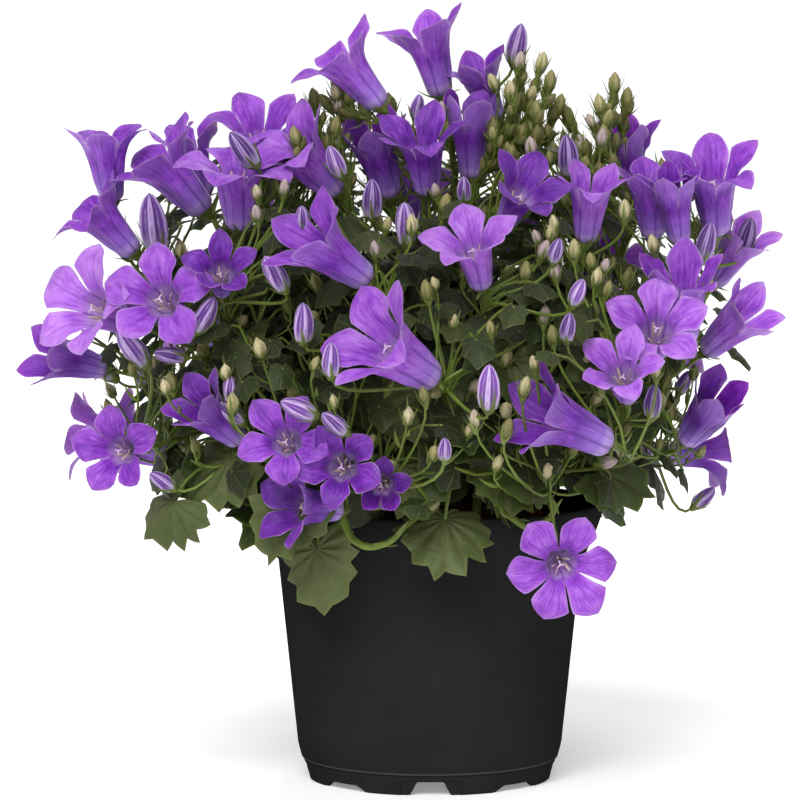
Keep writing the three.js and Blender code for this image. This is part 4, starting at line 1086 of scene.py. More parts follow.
def pot_body():
    """The pot, turned round its axis: a profile from the pad under it, out over the foot ring, up the
    wall and the flared collar, over the lip and down the inside. In eight notches the ring's lower edge
    is raised to an arch, high in front and behind and low and wide at the sides, and the wall beside a
    notch is sunk by a thin panel. A row of the profile is radius, height and kind: the notches leave kind
    0 alone, raise kind 1, and raise kind 2 and sink it by the panel."""
    bottom = POT_HEIGHT - COLLAR_DROP
    foot = FOOT_RADIUS
    lip_radius, lip_height = RIM_RADIUS - LIP_RADIUS, POT_HEIGHT - LIP_RADIUS
    lip = [
        (lip_radius + LIP_RADIUS * math.cos(a), lip_height + LIP_RADIUS * math.sin(a))
        for a in np.linspace(0, 2.4, 7)
    ]
    collar_corners = np.array([
        (COLLAR_BOTTOM_RADIUS + 0.3, bottom + 0.6),
        (COLLAR_BOTTOM_RADIUS + 2.2, bottom + 5),
        (COLLAR_SWELL_RADIUS + 0.4, POT_HEIGHT - COLLAR_SWELL_DROP),
        (RIM_RADIUS, POT_HEIGHT - 3),
    ])
    collar = run(collar_corners, 9)
    rows = [
        (0, 0, 0), (PAD_RADIUS - 0.6, 0, 0), (PAD_RADIUS, 0.6, 0),
        (PAD_RADIUS + 1, PLATE_UNDERSIDE, 0), (foot - FOOT_RING - 1, PLATE_UNDERSIDE, 0),
        (foot - FOOT_RING, 0.5, 1), (foot - FOOT_RING + 0.5, 0, 1),
        (foot - 0.7, 0, 1), (foot - 0.1, 0.5, 1),
        (foot + 0.25, 1.6, 2), (foot + 0.6, 3.2, 2), (foot + 0.85, NOTCH_HEIGHT, 2), (foot + 1.0, 5.6, 0),
        (foot + 1.1, FOOT_HEIGHT - 0.2, 0), (foot + 1.7, FOOT_HEIGHT, 0),
        (foot + 2.0, FOOT_HEIGHT + 0.5, 0), (BODY_FOOT_RADIUS + 0.3, FOOT_HEIGHT + 3.2, 0),
        (BODY_FOOT_RADIUS + 0.75, FOOT_HEIGHT + 5, 0),
    ]
    wall_low = np.array([BODY_FOOT_RADIUS + 0.75, FOOT_HEIGHT + 5])
    wall_high = np.array([BODY_TOP_RADIUS, bottom - 0.9])
    rows += [(*(wall_low + (wall_high - wall_low) * s), 0) for s in np.linspace(0, 1, 12)[1:]]
    rows += [(BODY_TOP_RADIUS + 0.15, bottom - 0.35, 0), (COLLAR_BOTTOM_RADIUS - 0.2, bottom - 0.1, 0)]
    rows += [(r, z, 0) for r, z in collar]
    rows += [(r, z, 0) for r, z in lip]
    rows += [
        (RIM_RADIUS - 2.4, POT_HEIGHT - 2, 0), (BODY_TOP_RADIUS + 2.4, POT_HEIGHT - 8, 0),
        (BODY_TOP_RADIUS - POT_WALL, bottom - 2, 0), (BODY_FOOT_RADIUS - POT_WALL, PLATE_TOP + 3, 0),
        (foot - POT_WALL, PLATE_TOP, 0), (0, PLATE_TOP, 0),
    ]
    profile = np.array(rows)
    notch = 2 * math.pi / NOTCH_COUNT
    half = NOTCH_WIDTH / 2 / foot
    panel = PANEL_HALF_WIDTH / foot
    marks = np.array([-panel - 0.006, -panel, -1.3 * half, -1.1 * half, -0.95 * half, -0.8 * half])
    marks = np.concatenate([marks, -marks])
    edges = (marks[None] + notch * np.arange(NOTCH_COUNT)[:, None] - math.pi / 2).reshape(-1)
    even = 2 * math.pi * np.arange(POT_SIDES) / POT_SIDES - math.pi / 2
    clear = np.abs((even[:, None] - edges[None] + math.pi) % (2 * math.pi) - math.pi).min(1) > 0.012
    turn = np.sort(np.concatenate([even[clear], edges]) % (2 * math.pi))
    from_notch = np.abs((turn + math.pi / 2 + notch / 2) % notch - notch / 2)
    tall = NOTCH_HEIGHT * (1 - smooth((from_notch / half - 0.75) / 0.6))
    low = SIDE_NOTCH_HEIGHT * (1 - smooth((from_notch / half - 1.1) / 0.6))
    arch = np.where(np.abs(np.sin(turn)) > 0.9, tall, low)
    sunk = PANEL_DEPTH * (from_notch <= panel + 1e-6)
    kind = profile[:, 2:]
    height = profile[:, 1:2] + 0 * turn
    raised = np.maximum(height, arch[None] + np.clip(height - 0.2, 0, 1.2) * 0.1)
    height = np.where(kind > 0, raised, height)
    radius = profile[:, :1] - np.where(kind == 2, sunk[None], 0.0)
    outer_edge = (profile[:, 1:2] < 0.6) & (kind == 1) & (profile[:, :1] > foot - 1)
    radius = radius - np.where(outer_edge, sunk[None], 0.0)
    points = np.stack([radius * np.cos(turn), radius * np.sin(turn), height], -1)
    count = len(profile) * len(turn)
    place = np.zeros((count, 3))
    place[:, 2] = np.repeat(profile[:, 1] / POT_HEIGHT, len(turn))
    return points.reshape(-1, 3), grid_faces(len(profile), len(turn), True), place, np.zeros(count)


# Making objects and meshes

def new_object(name, data):
    """An object of that name and data in the scene."""
    made = bpy.data.objects.new(name, data)
    bpy.context.scene.collection.objects.link(made)
    return made


def weld(points, faces):
    """Points that lie on each other become one, and triangles that lose a side go."""
    _, first, place = np.unique(np.round(points, 3), axis=0, return_index=True, return_inverse=True)
    joined = place.reshape(-1)[faces]
    sound = (joined[:, 0] != joined[:, 1]) & (joined[:, 1] != joined[:, 2]) & (joined[:, 2] != joined[:, 0])
    return first, joined[sound], faces[sound]


class Piece:
    """Gathers shapes in millimetres and makes them one smooth mesh in metres. Every corner of a face
    keeps its place on its shape, its nearness to an edge and its shape's tone."""

    def __init__(self):
        self.points = []
        self.faces = []
        self.places = []
        self.edges = []
        self.tones = []
        self.count = 0

    def add(self, shapes, tone=0.5):
        """Takes in shapes of one tone."""
        for points, faces, place, edge in shapes:
            first, joined, kept = weld(points, faces)
            self.points.append(points[first])
            self.faces.append(joined + self.count)
            self.places.append(place[kept].reshape(-1, 3))
            self.edges.append(edge[kept].reshape(-1))
            self.tones.append(np.full(kept.size, tone))
            self.count += len(first)

    def mesh(self, name, sharp):
        """The mesh of all shapes, smooth but for edges that bend more than sharp degrees."""
        points = np.concatenate(self.points) * METRE
        faces = np.concatenate(self.faces)
        mesh = bpy.data.meshes.new(name)
        mesh.vertices.add(len(points))
        mesh.vertices.foreach_set("co", points.astype(np.float32).reshape(-1))
        mesh.loops.add(faces.size)
        mesh.loops.foreach_set("vertex_index", faces.astype(np.int32).reshape(-1))
        mesh.polygons.add(len(faces))
        mesh.polygons.foreach_set("loop_start", 3 * np.arange(len(faces), dtype=np.int32))
        mesh.polygons.foreach_set("use_smooth", np.ones(len(faces), bool))
        mesh.update(calc_edges=True)
        mesh.set_sharp_from_angle(angle=math.radians(sharp))
        for title, kind, key, values in (
            ("place", "FLOAT_VECTOR", "vector", self.places),
            ("edge", "FLOAT", "value", self.edges),
            ("tone", "FLOAT", "value", self.tones),
        ):
            attribute = mesh.attributes.new(title, kind, "CORNER")
            attribute.data.foreach_set(key, np.concatenate(values).astype(np.float32).reshape(-1))
        return mesh

    def make(self, name, material, slot, nodes, sharp=60):
        """The mesh as an object on the root body, which stands in for the nodes."""
        mesh = self.mesh(name, sharp)
        mesh.materials.append(material)
        piece = new_object(name, mesh)
        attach(piece, "root")
        if nodes:
            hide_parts(*nodes)
        return piece


# Materials

VALUE = "NodeSocketFloat"
COLOUR = "NodeSocketColor"
VECTOR = "NodeSocketVector"


def screen(red, green, blue):
    """A colour given as screen values from 0 to 255, as the linear values that a shader takes."""
    shares = np.array([red, green, blue]) / 255
    linear = np.where(shares <= 0.04045, shares / 12.92, ((shares + 0.055) / 1.055) ** 2.4)
    return (*linear, 1.0)


class Nodes:
    """Adds nodes to one tree and joins them."""

    def __init__(self, tree):
        self.tree = tree

    def add(self, kind, inputs=(), **settings):
        node = self.tree.nodes.new(kind)
        for key, value in settings.items():
            setattr(node, key, value)
        for key, value in dict(inputs).items():
            if isinstance(value, bpy.types.NodeSocket):
                self.tree.links.new(value, node.inputs[key])
            else:
                node.inputs[key].default_value = value
        return node

    def math(self, operation, a, b=0.0, clamp=False):
        return self.add("ShaderNodeMath", {0: a, 1: b}, operation=operation, use_clamp=clamp).outputs[0]

    def plus(self, a, b, clamp=False):
        return self.math("ADD", a, b, clamp)

    def minus(self, a, b, clamp=False):
        return self.math("SUBTRACT", a, b, clamp)

    def times(self, a, b):
        return self.math("MULTIPLY", a, b)

    def smoothstep(self, value, low, high, start=0.0, end=1.0):
        inputs = {"Value": value, "From Min": low, "From Max": high, "To Min": start, "To Max": end}
        return self.add("ShaderNodeMapRange", inputs, interpolation_type="SMOOTHSTEP").outputs[0]

    def mix(self, share, a, b):
        inputs = {0: share, 6: a, 7: b}
        return self.add("ShaderNodeMix", inputs, data_type="RGBA", clamp_factor=True).outputs[2]

    def noise(self, position, scale, detail=3.0, roughness=0.55):
        inputs = {"Vector": position, "Scale": scale, "Detail": detail, "Roughness": roughness}
        return self.add("ShaderNodeTexNoise", inputs).outputs[0]

    def ramp(self, share, stops):
        node = self.add("ShaderNodeValToRGB", {0: share})
        elements = node.color_ramp.elements
        while len(elements) < len(stops):
            elements.new(0.5)
        for element, (place, colour) in zip(elements, stops):
            element.position = place
            element.color = colour
        return node.outputs[0]

    def bump(self, height, distance, strength):
        inputs = {"Height": height, "Distance": distance, "Strength": strength}
        return self.add("ShaderNodeBump", inputs).outputs[0]


def new_group(name, inputs, outputs):
    """An empty shader group with the given sockets, and its first and last nodes."""
    tree = bpy.data.node_groups.new(name, "ShaderNodeTree")
    for title, kind, value in inputs:
        socket = tree.interface.new_socket(title, in_out="INPUT", socket_type=kind)
        if value is not None:
            socket.default_value = value
    for title, kind in outputs:
        tree.interface.new_socket(title, in_out="OUTPUT", socket_type=kind)
    nodes = Nodes(tree)
    return nodes, nodes.add("NodeGroupInput").outputs, nodes.add("NodeGroupOutput").inputs


def mottle_group():
    """Shades a colour lighter and darker by noise of a given scale and amount."""
    nodes, given, result = new_group(
        "living_mottle",
        [("Color", COLOUR, None), ("Position", VECTOR, None),
         ("Scale", VALUE, 200.0), ("Amount", VALUE, 0.2)],
        [("Color", COLOUR)],
    )
    noise = nodes.noise(given["Position"], given["Scale"], 4.0, 0.6)
    swing = nodes.times(nodes.minus(noise, 0.5), given["Amount"])
    value = nodes.plus(nodes.times(swing, 2.0), 1.0)
    shaded = nodes.add("ShaderNodeHueSaturation", {"Color": given["Color"], "Value": value})
    nodes.tree.links.new(shaded.outputs[0], result["Color"])


def lines_group():
    """A mask of thin lines: 1 on each line, where across times count, shaken by noise, is whole."""
    nodes, given, result = new_group(
        "fine_lines",
        [("Across", VALUE, 0.0), ("Position", VECTOR, None), ("Count", VALUE, 4.0),
         ("Width", VALUE, 0.2), ("Shake", VALUE, 0.3), ("Scale", VALUE, 200.0)],
        [("Mask", VALUE)],
    )
    noise = nodes.minus(nodes.noise(given["Position"], given["Scale"], 2.0), 0.5)
    shaken = nodes.plus(given["Across"], nodes.times(noise, given["Shake"]))
    phase = nodes.math("FRACT", nodes.plus(nodes.times(shaken, given["Count"]), 0.5))
    away = nodes.math("ABSOLUTE", nodes.minus(phase, 0.5))
    mask = nodes.minus(1.0, nodes.math("DIVIDE", away, given["Width"]), clamp=True)
    nodes.tree.links.new(mask, result["Mask"])


def swing_group():
    """Noise of a given scale that swings round zero by a given amount."""
    nodes, given, result = new_group(
        "soft_swing",
        [("Position", VECTOR, None), ("Scale", VALUE, 200.0), ("Amount", VALUE, 0.5)],
        [("Swing", VALUE)],
    )
    noise = nodes.noise(given["Position"], given["Scale"])
    swing = nodes.times(nodes.minus(noise, 0.5), given["Amount"])
    nodes.tree.links.new(swing, result["Swing"])


def grain_group():
    """The height of a fine grain of a given scale."""
    nodes, given, result = new_group(
        "fine_grain",
        [("Position", VECTOR, None), ("Scale", VALUE, 1500.0)],
        [("Height", VALUE)],
    )
    nodes.tree.links.new(nodes.noise(given["Position"], given["Scale"]), result["Height"])


class Surface(Nodes):
    """The nodes of a new material, and what they can read at each point of a surface."""

    def __init__(self, name, **settings):
        self.material = bpy.data.materials.new(name)
        self.material.use_nodes = True
        super().__init__(self.material.node_tree)
        self.shader = self.tree.nodes["Principled BSDF"]
        for key, value in settings.items():
            self.shader.inputs[key.replace("_", " ")].default_value = value

    def position(self):
        return self.add("ShaderNodeTexCoord").outputs["Object"]

    def place(self):
        """How far the point lies along and across its shape, and on which side."""
        place = self.add("ShaderNodeAttribute", attribute_name="place").outputs["Vector"]
        return self.add("ShaderNodeSeparateXYZ", {0: place}).outputs

    def read(self, title):
        return self.add("ShaderNodeAttribute", attribute_name=title).outputs["Fac"]

    def finished(self, colour, normal=None, roughness=None):
        """The material, with what its nodes make joined to its shader."""
        for title, made in (("Base Color", colour), ("Normal", normal), ("Roughness", roughness)):
            if made is not None:
                self.tree.links.new(made, self.shader.inputs[title])
        return self.material


def placed(nodes, name, inputs):
    """The group of that name, put into a material with its own values."""
    return nodes.add("ShaderNodeGroup", inputs, node_tree=bpy.data.node_groups[name]).outputs[0]


def mottled(nodes, colour, position, scale, amount):
    inputs = {"Color": colour, "Position": position, "Scale": scale, "Amount": amount}
    return placed(nodes, "living_mottle", inputs)


def swinging(nodes, position, scale, amount):
    return placed(nodes, "soft_swing", {"Position": position, "Scale": scale, "Amount": amount})


def grained(nodes, position, scale, distance, strength):
    height = placed(nodes, "fine_grain", {"Position": position, "Scale": scale})
    return nodes.bump(height, distance, strength)


def lines(nodes, across, position, count, width, shake, scale):
    inputs = {
        "Across": across, "Position": position, "Count": count,
        "Width": width, "Shake": shake, "Scale": scale,
    }
    return placed(nodes, "fine_lines", inputs)


def petal_streaks(nodes, across, along, tone):
    """Noise drawn out along the petal, other for each bell."""
    stretched = nodes.add("ShaderNodeCombineXYZ", {
        0: nodes.times(across, 2.6),
        1: nodes.times(along, 1.3),
        2: nodes.times(tone, 90.0),
    }).outputs[0]
    return nodes.noise(stretched, 2.0, 4.0, 0.6)


def petal_material():
    """Violet petals: deeper or lighter from bell to bell, bluish and pale at the foot, with ribs on the
    tube, fine veins on the lobes, a pale throat and a thin light edge."""
    nodes = Surface(
        "violet_petal", Roughness=0.5, Sheen_Weight=0.08, Sheen_Roughness=0.4, Specular_IOR_Level=0.3,
        Subsurface_Weight=0.35, Subsurface_Radius=(0.002, 0.0012, 0.0026), Subsurface_Scale=1.0,
    )
    along, across, inside = nodes.place()
    position = nodes.position()
    tone = nodes.read("tone")
    cloud = swinging(nodes, position, 90.0, 0.7)
    blots = swinging(nodes, position, 260.0, 0.5)
    share = nodes.plus(tone, nodes.plus(cloud, blots), clamp=True)
    streaks_and_painted_shade = petal_streaks(nodes, across, along, tone)
    # The streaks vary the violet partly as the petal's own streaky colour and partly as painted highlight
    # and shade: the same noise raises the wrinkles in the bump below, so raised streaks are painted lighter
    # and sunken ones darker.
    share = nodes.plus(share, nodes.times(nodes.minus(streaks_and_painted_shade, 0.5), 0.8), clamp=True)
    violet = nodes.ramp(share, [
        (0.0, screen(62, 12, 104)), (0.3, screen(94, 32, 144)),
        (0.55, screen(133, 62, 183)), (1.0, screen(177, 121, 217)),
    ])
    tube_side = nodes.mix(nodes.smoothstep(along, 0.0, 1.0, 0.75, 0.0), violet, screen(150, 116, 210))
    tube_side = nodes.mix(nodes.smoothstep(along, 0.02, 0.2, 0.8, 0.0), tube_side, screen(166, 140, 204))
    throat = nodes.mix(nodes.smoothstep(along, 0.4, 1.12), screen(198, 170, 228), violet)
    outer = nodes.smoothstep(along, 1.0, 1.5, 0.0, 0.3)
    tube_side = nodes.mix(outer, tube_side, screen(178, 136, 224))
    colour = nodes.mix(inside, tube_side, throat)
    groove = nodes.smoothstep(nodes.math("ABSOLUTE", across), 0.72, 1.0, 0.0, 1.0)
    in_tube = nodes.smoothstep(along, 0.85, 1.1, 1.0, 0.0)
    colour = nodes.mix(nodes.times(nodes.times(groove, in_tube), 0.6), colour, screen(72, 22, 120))
    splay = nodes.times(across, nodes.smoothstep(along, 1.0, 2.0, 1.0, 0.62))
    veins = lines(nodes, splay, position, 3.0, 0.1, 0.55, 110.0)
    midrib = nodes.smoothstep(nodes.math("ABSOLUTE", across), 0.0, 0.08, 1.0, 0.0)
    marks = nodes.math("MAXIMUM", nodes.times(veins, 0.22), nodes.times(midrib, 0.45))
    marks = nodes.times(marks, nodes.smoothstep(along, 1.98, 1.4, 0.0, 1.0))
    colour = nodes.mix(marks, colour, screen(84, 26, 134))
    rim = nodes.smoothstep(nodes.read("edge"), 0.86, 1.0, 0.0, 0.4)
    colour = nodes.mix(rim, colour, screen(196, 152, 228))
    colour = mottled(nodes, colour, position, 420.0, 0.16)
    wrinkle = nodes.plus(nodes.noise(position, 420.0, 3.0), nodes.times(streaks_and_painted_shade, 1.8))
    height = nodes.plus(nodes.times(marks, -1.2), nodes.times(wrinkle, 0.6))
    return nodes.finished(colour, nodes.bump(height, 0.0004, 0.7))


def bud_material():
    """Striped buds: dark violet hollows and pale lilac ridges, greenish white at the foot."""
    nodes = Surface(
        "striped_bud", Roughness=0.5, Sheen_Weight=0.2, Specular_IOR_Level=0.3,
        Subsurface_Weight=0.12, Subsurface_Radius=(0.0012, 0.0008, 0.0018), Subsurface_Scale=1.0,
    )
    along, ridge, _ = nodes.place()
    position = nodes.position()
    tone = nodes.read("tone")
    ridge = nodes.plus(ridge, swinging(nodes, position, 260.0, 0.35), clamp=True)
    dark = nodes.mix(tone, screen(58, 28, 92), screen(112, 62, 154))
    pale = nodes.mix(tone, screen(150, 122, 178), screen(190, 166, 208))
    colour = nodes.mix(nodes.smoothstep(ridge, 0.5, 0.78), dark, pale)
    colour = nodes.mix(nodes.smoothstep(ridge, 0.93, 1.0, 0.0, 0.7), colour, dark)
    colour = nodes.mix(nodes.smoothstep(ridge, 0.0, 0.1, 0.45, 0.0), colour, pale)
    foot = nodes.smoothstep(along, 0.08, 0.42, 0.7, 0.0)
    colour = nodes.mix(foot, colour, screen(164, 152, 180))
    colour = nodes.mix(nodes.smoothstep(along, 0.02, 0.18, 0.8, 0.0), colour, screen(150, 156, 108))
    colour = mottled(nodes, colour, position, 700.0, 0.2)
    return nodes.finished(colour, grained(nodes, position, 1500.0, 0.0002, 0.5))


def leaf_material():
    """Dark green blades with paler veins that fan out from the stalk, and a paler underside."""
    nodes = Surface(
        "bellflower_leaf", Roughness=0.5, Specular_IOR_Level=0.25, Sheen_Weight=0.04,
        Subsurface_Weight=0.08, Subsurface_Radius=(0.0008, 0.0014, 0.0004), Subsurface_Scale=1.0,
    )
    forward, sideways, under = nodes.place()
    position = nodes.position()
    turn = nodes.math("DIVIDE", nodes.math("ARCTAN2", sideways, forward), 2 * math.pi)
    squares = nodes.plus(nodes.math("POWER", forward, 2.0), nodes.math("POWER", sideways, 2.0))
    away = nodes.math("SQRT", squares)
    fan = lines(nodes, turn, position, 7.0, 0.09, 0.02, 200.0)
    fan = nodes.times(fan, nodes.smoothstep(away, 0.0, 0.9, 1.0, 0.3))
    slant = nodes.plus(away, nodes.times(nodes.math("ABSOLUTE", turn), 0.8))
    net = lines(nodes, slant, position, 7.0, 0.09, 0.25, 260.0)
    mask = nodes.math("MAXIMUM", fan, nodes.times(net, 0.25))
    share = nodes.plus(nodes.read("tone"), nodes.times(nodes.noise(position, 60.0), 0.3))
    green = nodes.ramp(share, [
        (0.1, screen(19, 25, 3)), (0.45, screen(32, 40, 8)),
        (0.75, screen(54, 63, 24)), (1.0, screen(77, 85, 47)),
    ])
    colour = nodes.mix(nodes.times(mask, 0.4), green, screen(93, 101, 55))
    colour = nodes.mix(nodes.times(under, 0.5), colour, screen(66, 80, 40))
    rim = nodes.smoothstep(nodes.read("edge"), 0.93, 1.0, 0.0, 0.3)
    colour = nodes.mix(rim, colour, screen(90, 102, 46))
    colour = mottled(nodes, colour, position, 350.0, 0.3)
    grain = nodes.noise(position, 700.0, 4.0)
    height = nodes.plus(nodes.times(mask, -0.8), grain)
    rough = nodes.smoothstep(grain, 0.2, 0.8, 0.42, 0.62)
    return nodes.finished(colour, nodes.bump(height, 0.0004, 0.7), rough)


def green_material(name, low, high, blush):
    """Stalks, sepals and small buds: a green between two, with fine ribs and a brownish blush."""
    nodes = Surface(
        name, Roughness=0.5, Specular_IOR_Level=0.35,
        Subsurface_Weight=0.12, Subsurface_Radius=(0.001, 0.0016, 0.0004), Subsurface_Scale=1.0,
    )
    _, across, _ = nodes.place()
    position = nodes.position()
    share = nodes.plus(nodes.times(nodes.read("tone"), 0.7), nodes.times(nodes.noise(position, 120.0), 0.5))
    colour = nodes.mix(share, low, high)
    ribs = lines(nodes, across, position, 5.0, 0.4, 0.05, 300.0)
    colour = nodes.mix(nodes.times(ribs, 0.25), colour, low)
    warm = nodes.smoothstep(nodes.noise(position, 75.0, 2.0), 0.5, 0.75, 0.0, 0.4)
    colour = nodes.mix(warm, colour, blush)
    colour = mottled(nodes, colour, position, 800.0, 0.25)
    return nodes.finished(colour, grained(nodes, position, 1600.0, 0.0002, 0.5))


def young_material():
    """Unripe buds: green at the foot, cream to grey lilac above, darker between the ribs."""
    nodes = Surface(
        "young_bud", Roughness=0.55, Specular_IOR_Level=0.3,
        Subsurface_Weight=0.12, Subsurface_Radius=(0.001, 0.0012, 0.0006), Subsurface_Scale=1.0,
    )
    along, ridge, _ = nodes.place()
    position = nodes.position()
    share = nodes.plus(nodes.read("tone"), nodes.times(nodes.noise(position, 180.0), 0.3))
    top = nodes.ramp(share, [
        (0.1, screen(80, 78, 38)), (0.5, screen(138, 132, 84)),
        (0.85, screen(186, 176, 138)), (1.0, screen(164, 146, 146)),
    ])
    colour = nodes.mix(nodes.smoothstep(along, 0.1, 0.65, 0.85, 0.0), top, screen(92, 106, 46))
    colour = nodes.mix(nodes.smoothstep(ridge, 0.1, 0.5, 0.4, 0.0), colour, screen(78, 72, 46))
    colour = mottled(nodes, colour, position, 900.0, 0.3)
    return nodes.finished(colour, grained(nodes, position, 1600.0, 0.0002, 0.6))


def pistil_material():
    """Pale lilac styles and brownish cream stamens."""
    nodes = Surface("cream_pistil", Roughness=0.6)
    position = nodes.position()
    colour = nodes.mix(nodes.noise(position, 500.0), screen(212, 190, 204), screen(188, 152, 190))
    stamen = nodes.smoothstep(nodes.read("tone"), 0.4, 0.6, 0.7, 0.0)
    colour = nodes.mix(stamen, colour, screen(198, 180, 150))
    return nodes.finished(colour, grained(nodes, position, 2500.0, 0.0002, 0.6))


def pot_material():
    """Black moulded plastic with fine turning marks and faint scuffs, and a painted highlight: a thin light
    line on the ledge over the foot."""
    nodes = Surface("black_plastic", Specular_IOR_Level=0.0)
    position = nodes.position()
    _, _, height = nodes.place()
    flat = nodes.add("ShaderNodeMapping", {"Vector": position, "Scale": (1.0, 1.0, 24.0)}).outputs[0]
    rings = nodes.noise(flat, 60.0, 4.0, 0.6)
    scuffs = nodes.noise(position, 35.0, 5.0, 0.65)
    colour = nodes.mix(scuffs, screen(27, 27, 27), screen(40, 40, 41))
    dust = nodes.smoothstep(nodes.noise(position, 240.0, 6.0, 0.7), 0.62, 0.8, 0.0, 0.2)
    colour = nodes.mix(dust, colour, screen(48, 46, 44))
    # A painted highlight: a thin light line round the pot at the ledge over the foot, as if the ledge caught
    # the light.
    ledge = nodes.math("ABSOLUTE", nodes.minus(height, LEDGE_HEIGHT / POT_HEIGHT))
    painted_ledge_highlight = nodes.smoothstep(ledge, 0.001, 0.005, 0.6, 0.0)
    colour = nodes.mix(painted_ledge_highlight, colour, screen(74, 74, 76))
    wear = nodes.plus(nodes.times(rings, 0.5), nodes.times(scuffs, 0.5))
    rough = nodes.smoothstep(wear, 0.3, 0.7, 0.38, 0.55)
    return nodes.finished(colour, nodes.bump(rings, 0.00006, 0.5), rough)


def soil_material():
    """Red-brown peat with dark wet and pale dry specks."""
    nodes = Surface("peat", Roughness=0.9, Specular_IOR_Level=0.2)
    position = nodes.position()
    colour = nodes.ramp(nodes.noise(position, 260.0, 6.0, 0.7), [
        (0.3, screen(48, 24, 20)), (0.5, screen(98, 52, 41)),
        (0.66, screen(138, 84, 62)), (0.8, screen(170, 124, 94)),
    ])
    return nodes.finished(colour, nodes.bump(nodes.noise(position, 900.0, 6.0, 0.7), 0.001, 1.0))


def floor_material():
    """A nearly white matt floor that glows faintly."""
    nodes = Surface("pale_floor", Roughness=1.0, Specular_IOR_Level=0.0, Emission_Strength=0.25)
    colour = nodes.mix(nodes.noise(nodes.position(), 3.0), screen(246, 246, 246), screen(250, 250, 250))
    return nodes.finished(colour)


# Camera, with places in metres

CAMERA_PLACE = (-0.0101, -1.6, 0.276)
CAMERA_TARGET = (-0.0101, 0, 0.128)
CAMERA_LENS = 214.2


def look_from(place, target, lens):
    """The scene's camera at a place, looking at the target."""
    camera = new_object("camera", bpy.data.cameras.new("camera"))
    camera.data.lens = lens
    camera.data.sensor_width = 36
    camera.data.clip_end = 200
    aim(camera, place, target)
    bpy.context.scene.camera = camera


def aim(thing, place, target):
    """Stands at the place and looks along its own -Z at the target."""
    back = unit(np.array(place, float) - np.array(target, float))
    right = unit(np.cross(UP, back))
    turn = np.array([right, np.cross(back, right), back]).T
    matrix = np.eye(4)
    matrix[:3, :3] = turn
    matrix[:3, 3] = place
    thing.matrix_world = Matrix(matrix.tolist())


look_from(CAMERA_PLACE, CAMERA_TARGET, CAMERA_LENS)

# The plant

draw = make_draw(SEED)
rng = np.random.default_rng(SEED)
mottle_group()
lines_group()
swing_group()
grain_group()
stems = stem_plan()
shown = front_blooms()
hidden = hidden_blooms(shown, draw)
for bloom in hidden:
    bloom.tone = rng.uniform(0.2, 0.8)
blooms = shown + hidden
buds = leaning_buds(FRONT_BUDS) + hidden_buds(hidden, blooms, draw)

stalks = []
small_buds = []
side_leaves = []
for bloom in blooms:
    index = stem_for(stems, bloom.base)
    stalk = side_stalk(stems, index, bloom.base - bloom.axis * CALYX_DEPTH, bloom.axis)
    stalks.append(stalk)
    turn = 360 * draw()
    bud = side_bud(stalk.places, SMALL_BUD_AT, turn, 5.5 + 2.5 * draw())
    if draw() < SMALL_BUD_SHARE:
        small_buds.append((index, bud))
    leaf_length = 18 + 8 * draw()
    if draw() < SIDE_LEAF_SHARE:
        side_leaves.append((index, stalk.places, SIDE_LEAF_AT, leaf_length))

spire_stalks = []
for x, y, z, lean in SPIRES:
    base = np.array([x, y, z], float)
    axis = leaning(lean, SPIRE_LEAN_FORWARD)
    index = stem_for(stems, base)
    stalk = side_stalk(stems, index, base, axis)
    spire_stalks.append(stalk)
    small_buds.append((index, Bud(base, axis, SPIRE_BUD_LENGTH)))
    for i in range(SPIRE_BUDS):
        length = SPIRE_BUD_LENGTH - 0.5 * i
        small_buds.append((index, side_bud(stalk.places, 0.6 + 0.16 * i, SPIRE_TURN * i, length)))

leaves = []
leaf_stalks = []
for x, y, z, yaw, pitch, tip_angle, length in LARGE_LEAVES:
    axes = frame_along(facing(yaw, pitch), tip_angle)
    base = np.array([x, y, z]) - axes[0] * LARGE_BLADE_MIDDLE * length
    index = stem_for(stems, base)
    stalk = side_stalk(stems, index, base + axes[0] * LARGE_BLADE_JOINT * length, axes[0])
    leaf_stalks.append(stalk)
    leaves.append(Leaf(index, base, axes, length))

every_row = [stalk.places for stalk in stalks + spire_stalks + leaf_stalks]
every_row += [stem.places for stem in stems]
for stem_index, stem in enumerate(stems):
    share = 0.6 + 0.3 * draw()
    side_leaves.append((stem_index, stem.places, share, 21 + 7 * draw()))
for stem_index, places, share, length in side_leaves:
    leaves.append(stem_leaf(stem_index, places, share, length, every_row))


def bloom_samples():
    """Balls that stay free of leaves: those along every bell, and those over the bare soil."""
    centres = [*BARE_SOIL]
    room = [BARE_RADIUS] * len(BARE_SOIL)
    for bloom in blooms:
        for share, radius in BELL_ROOM:
            centres.append(bloom.base + bloom.axis * BELL_LENGTH * bloom.size * share)
            room.append(bloom.size * radius)
    return np.array(centres), np.array(room)


def clearance(probes, centres, room):
    """How far probes stay from the bells, in space and, where they lie before a bell, in the front view."""
    away = np.atleast_2d(probes)[:, None] - centres[None]
    before = (away[..., 1] < 0) & (centres[:, 1] < 15)
    front_gap = np.hypot(away[..., 0], away[..., 2]) - 0.8 * room + 100 * ~before
    return min((np.linalg.norm(away, axis=-1) - room).min(), front_gap.min())


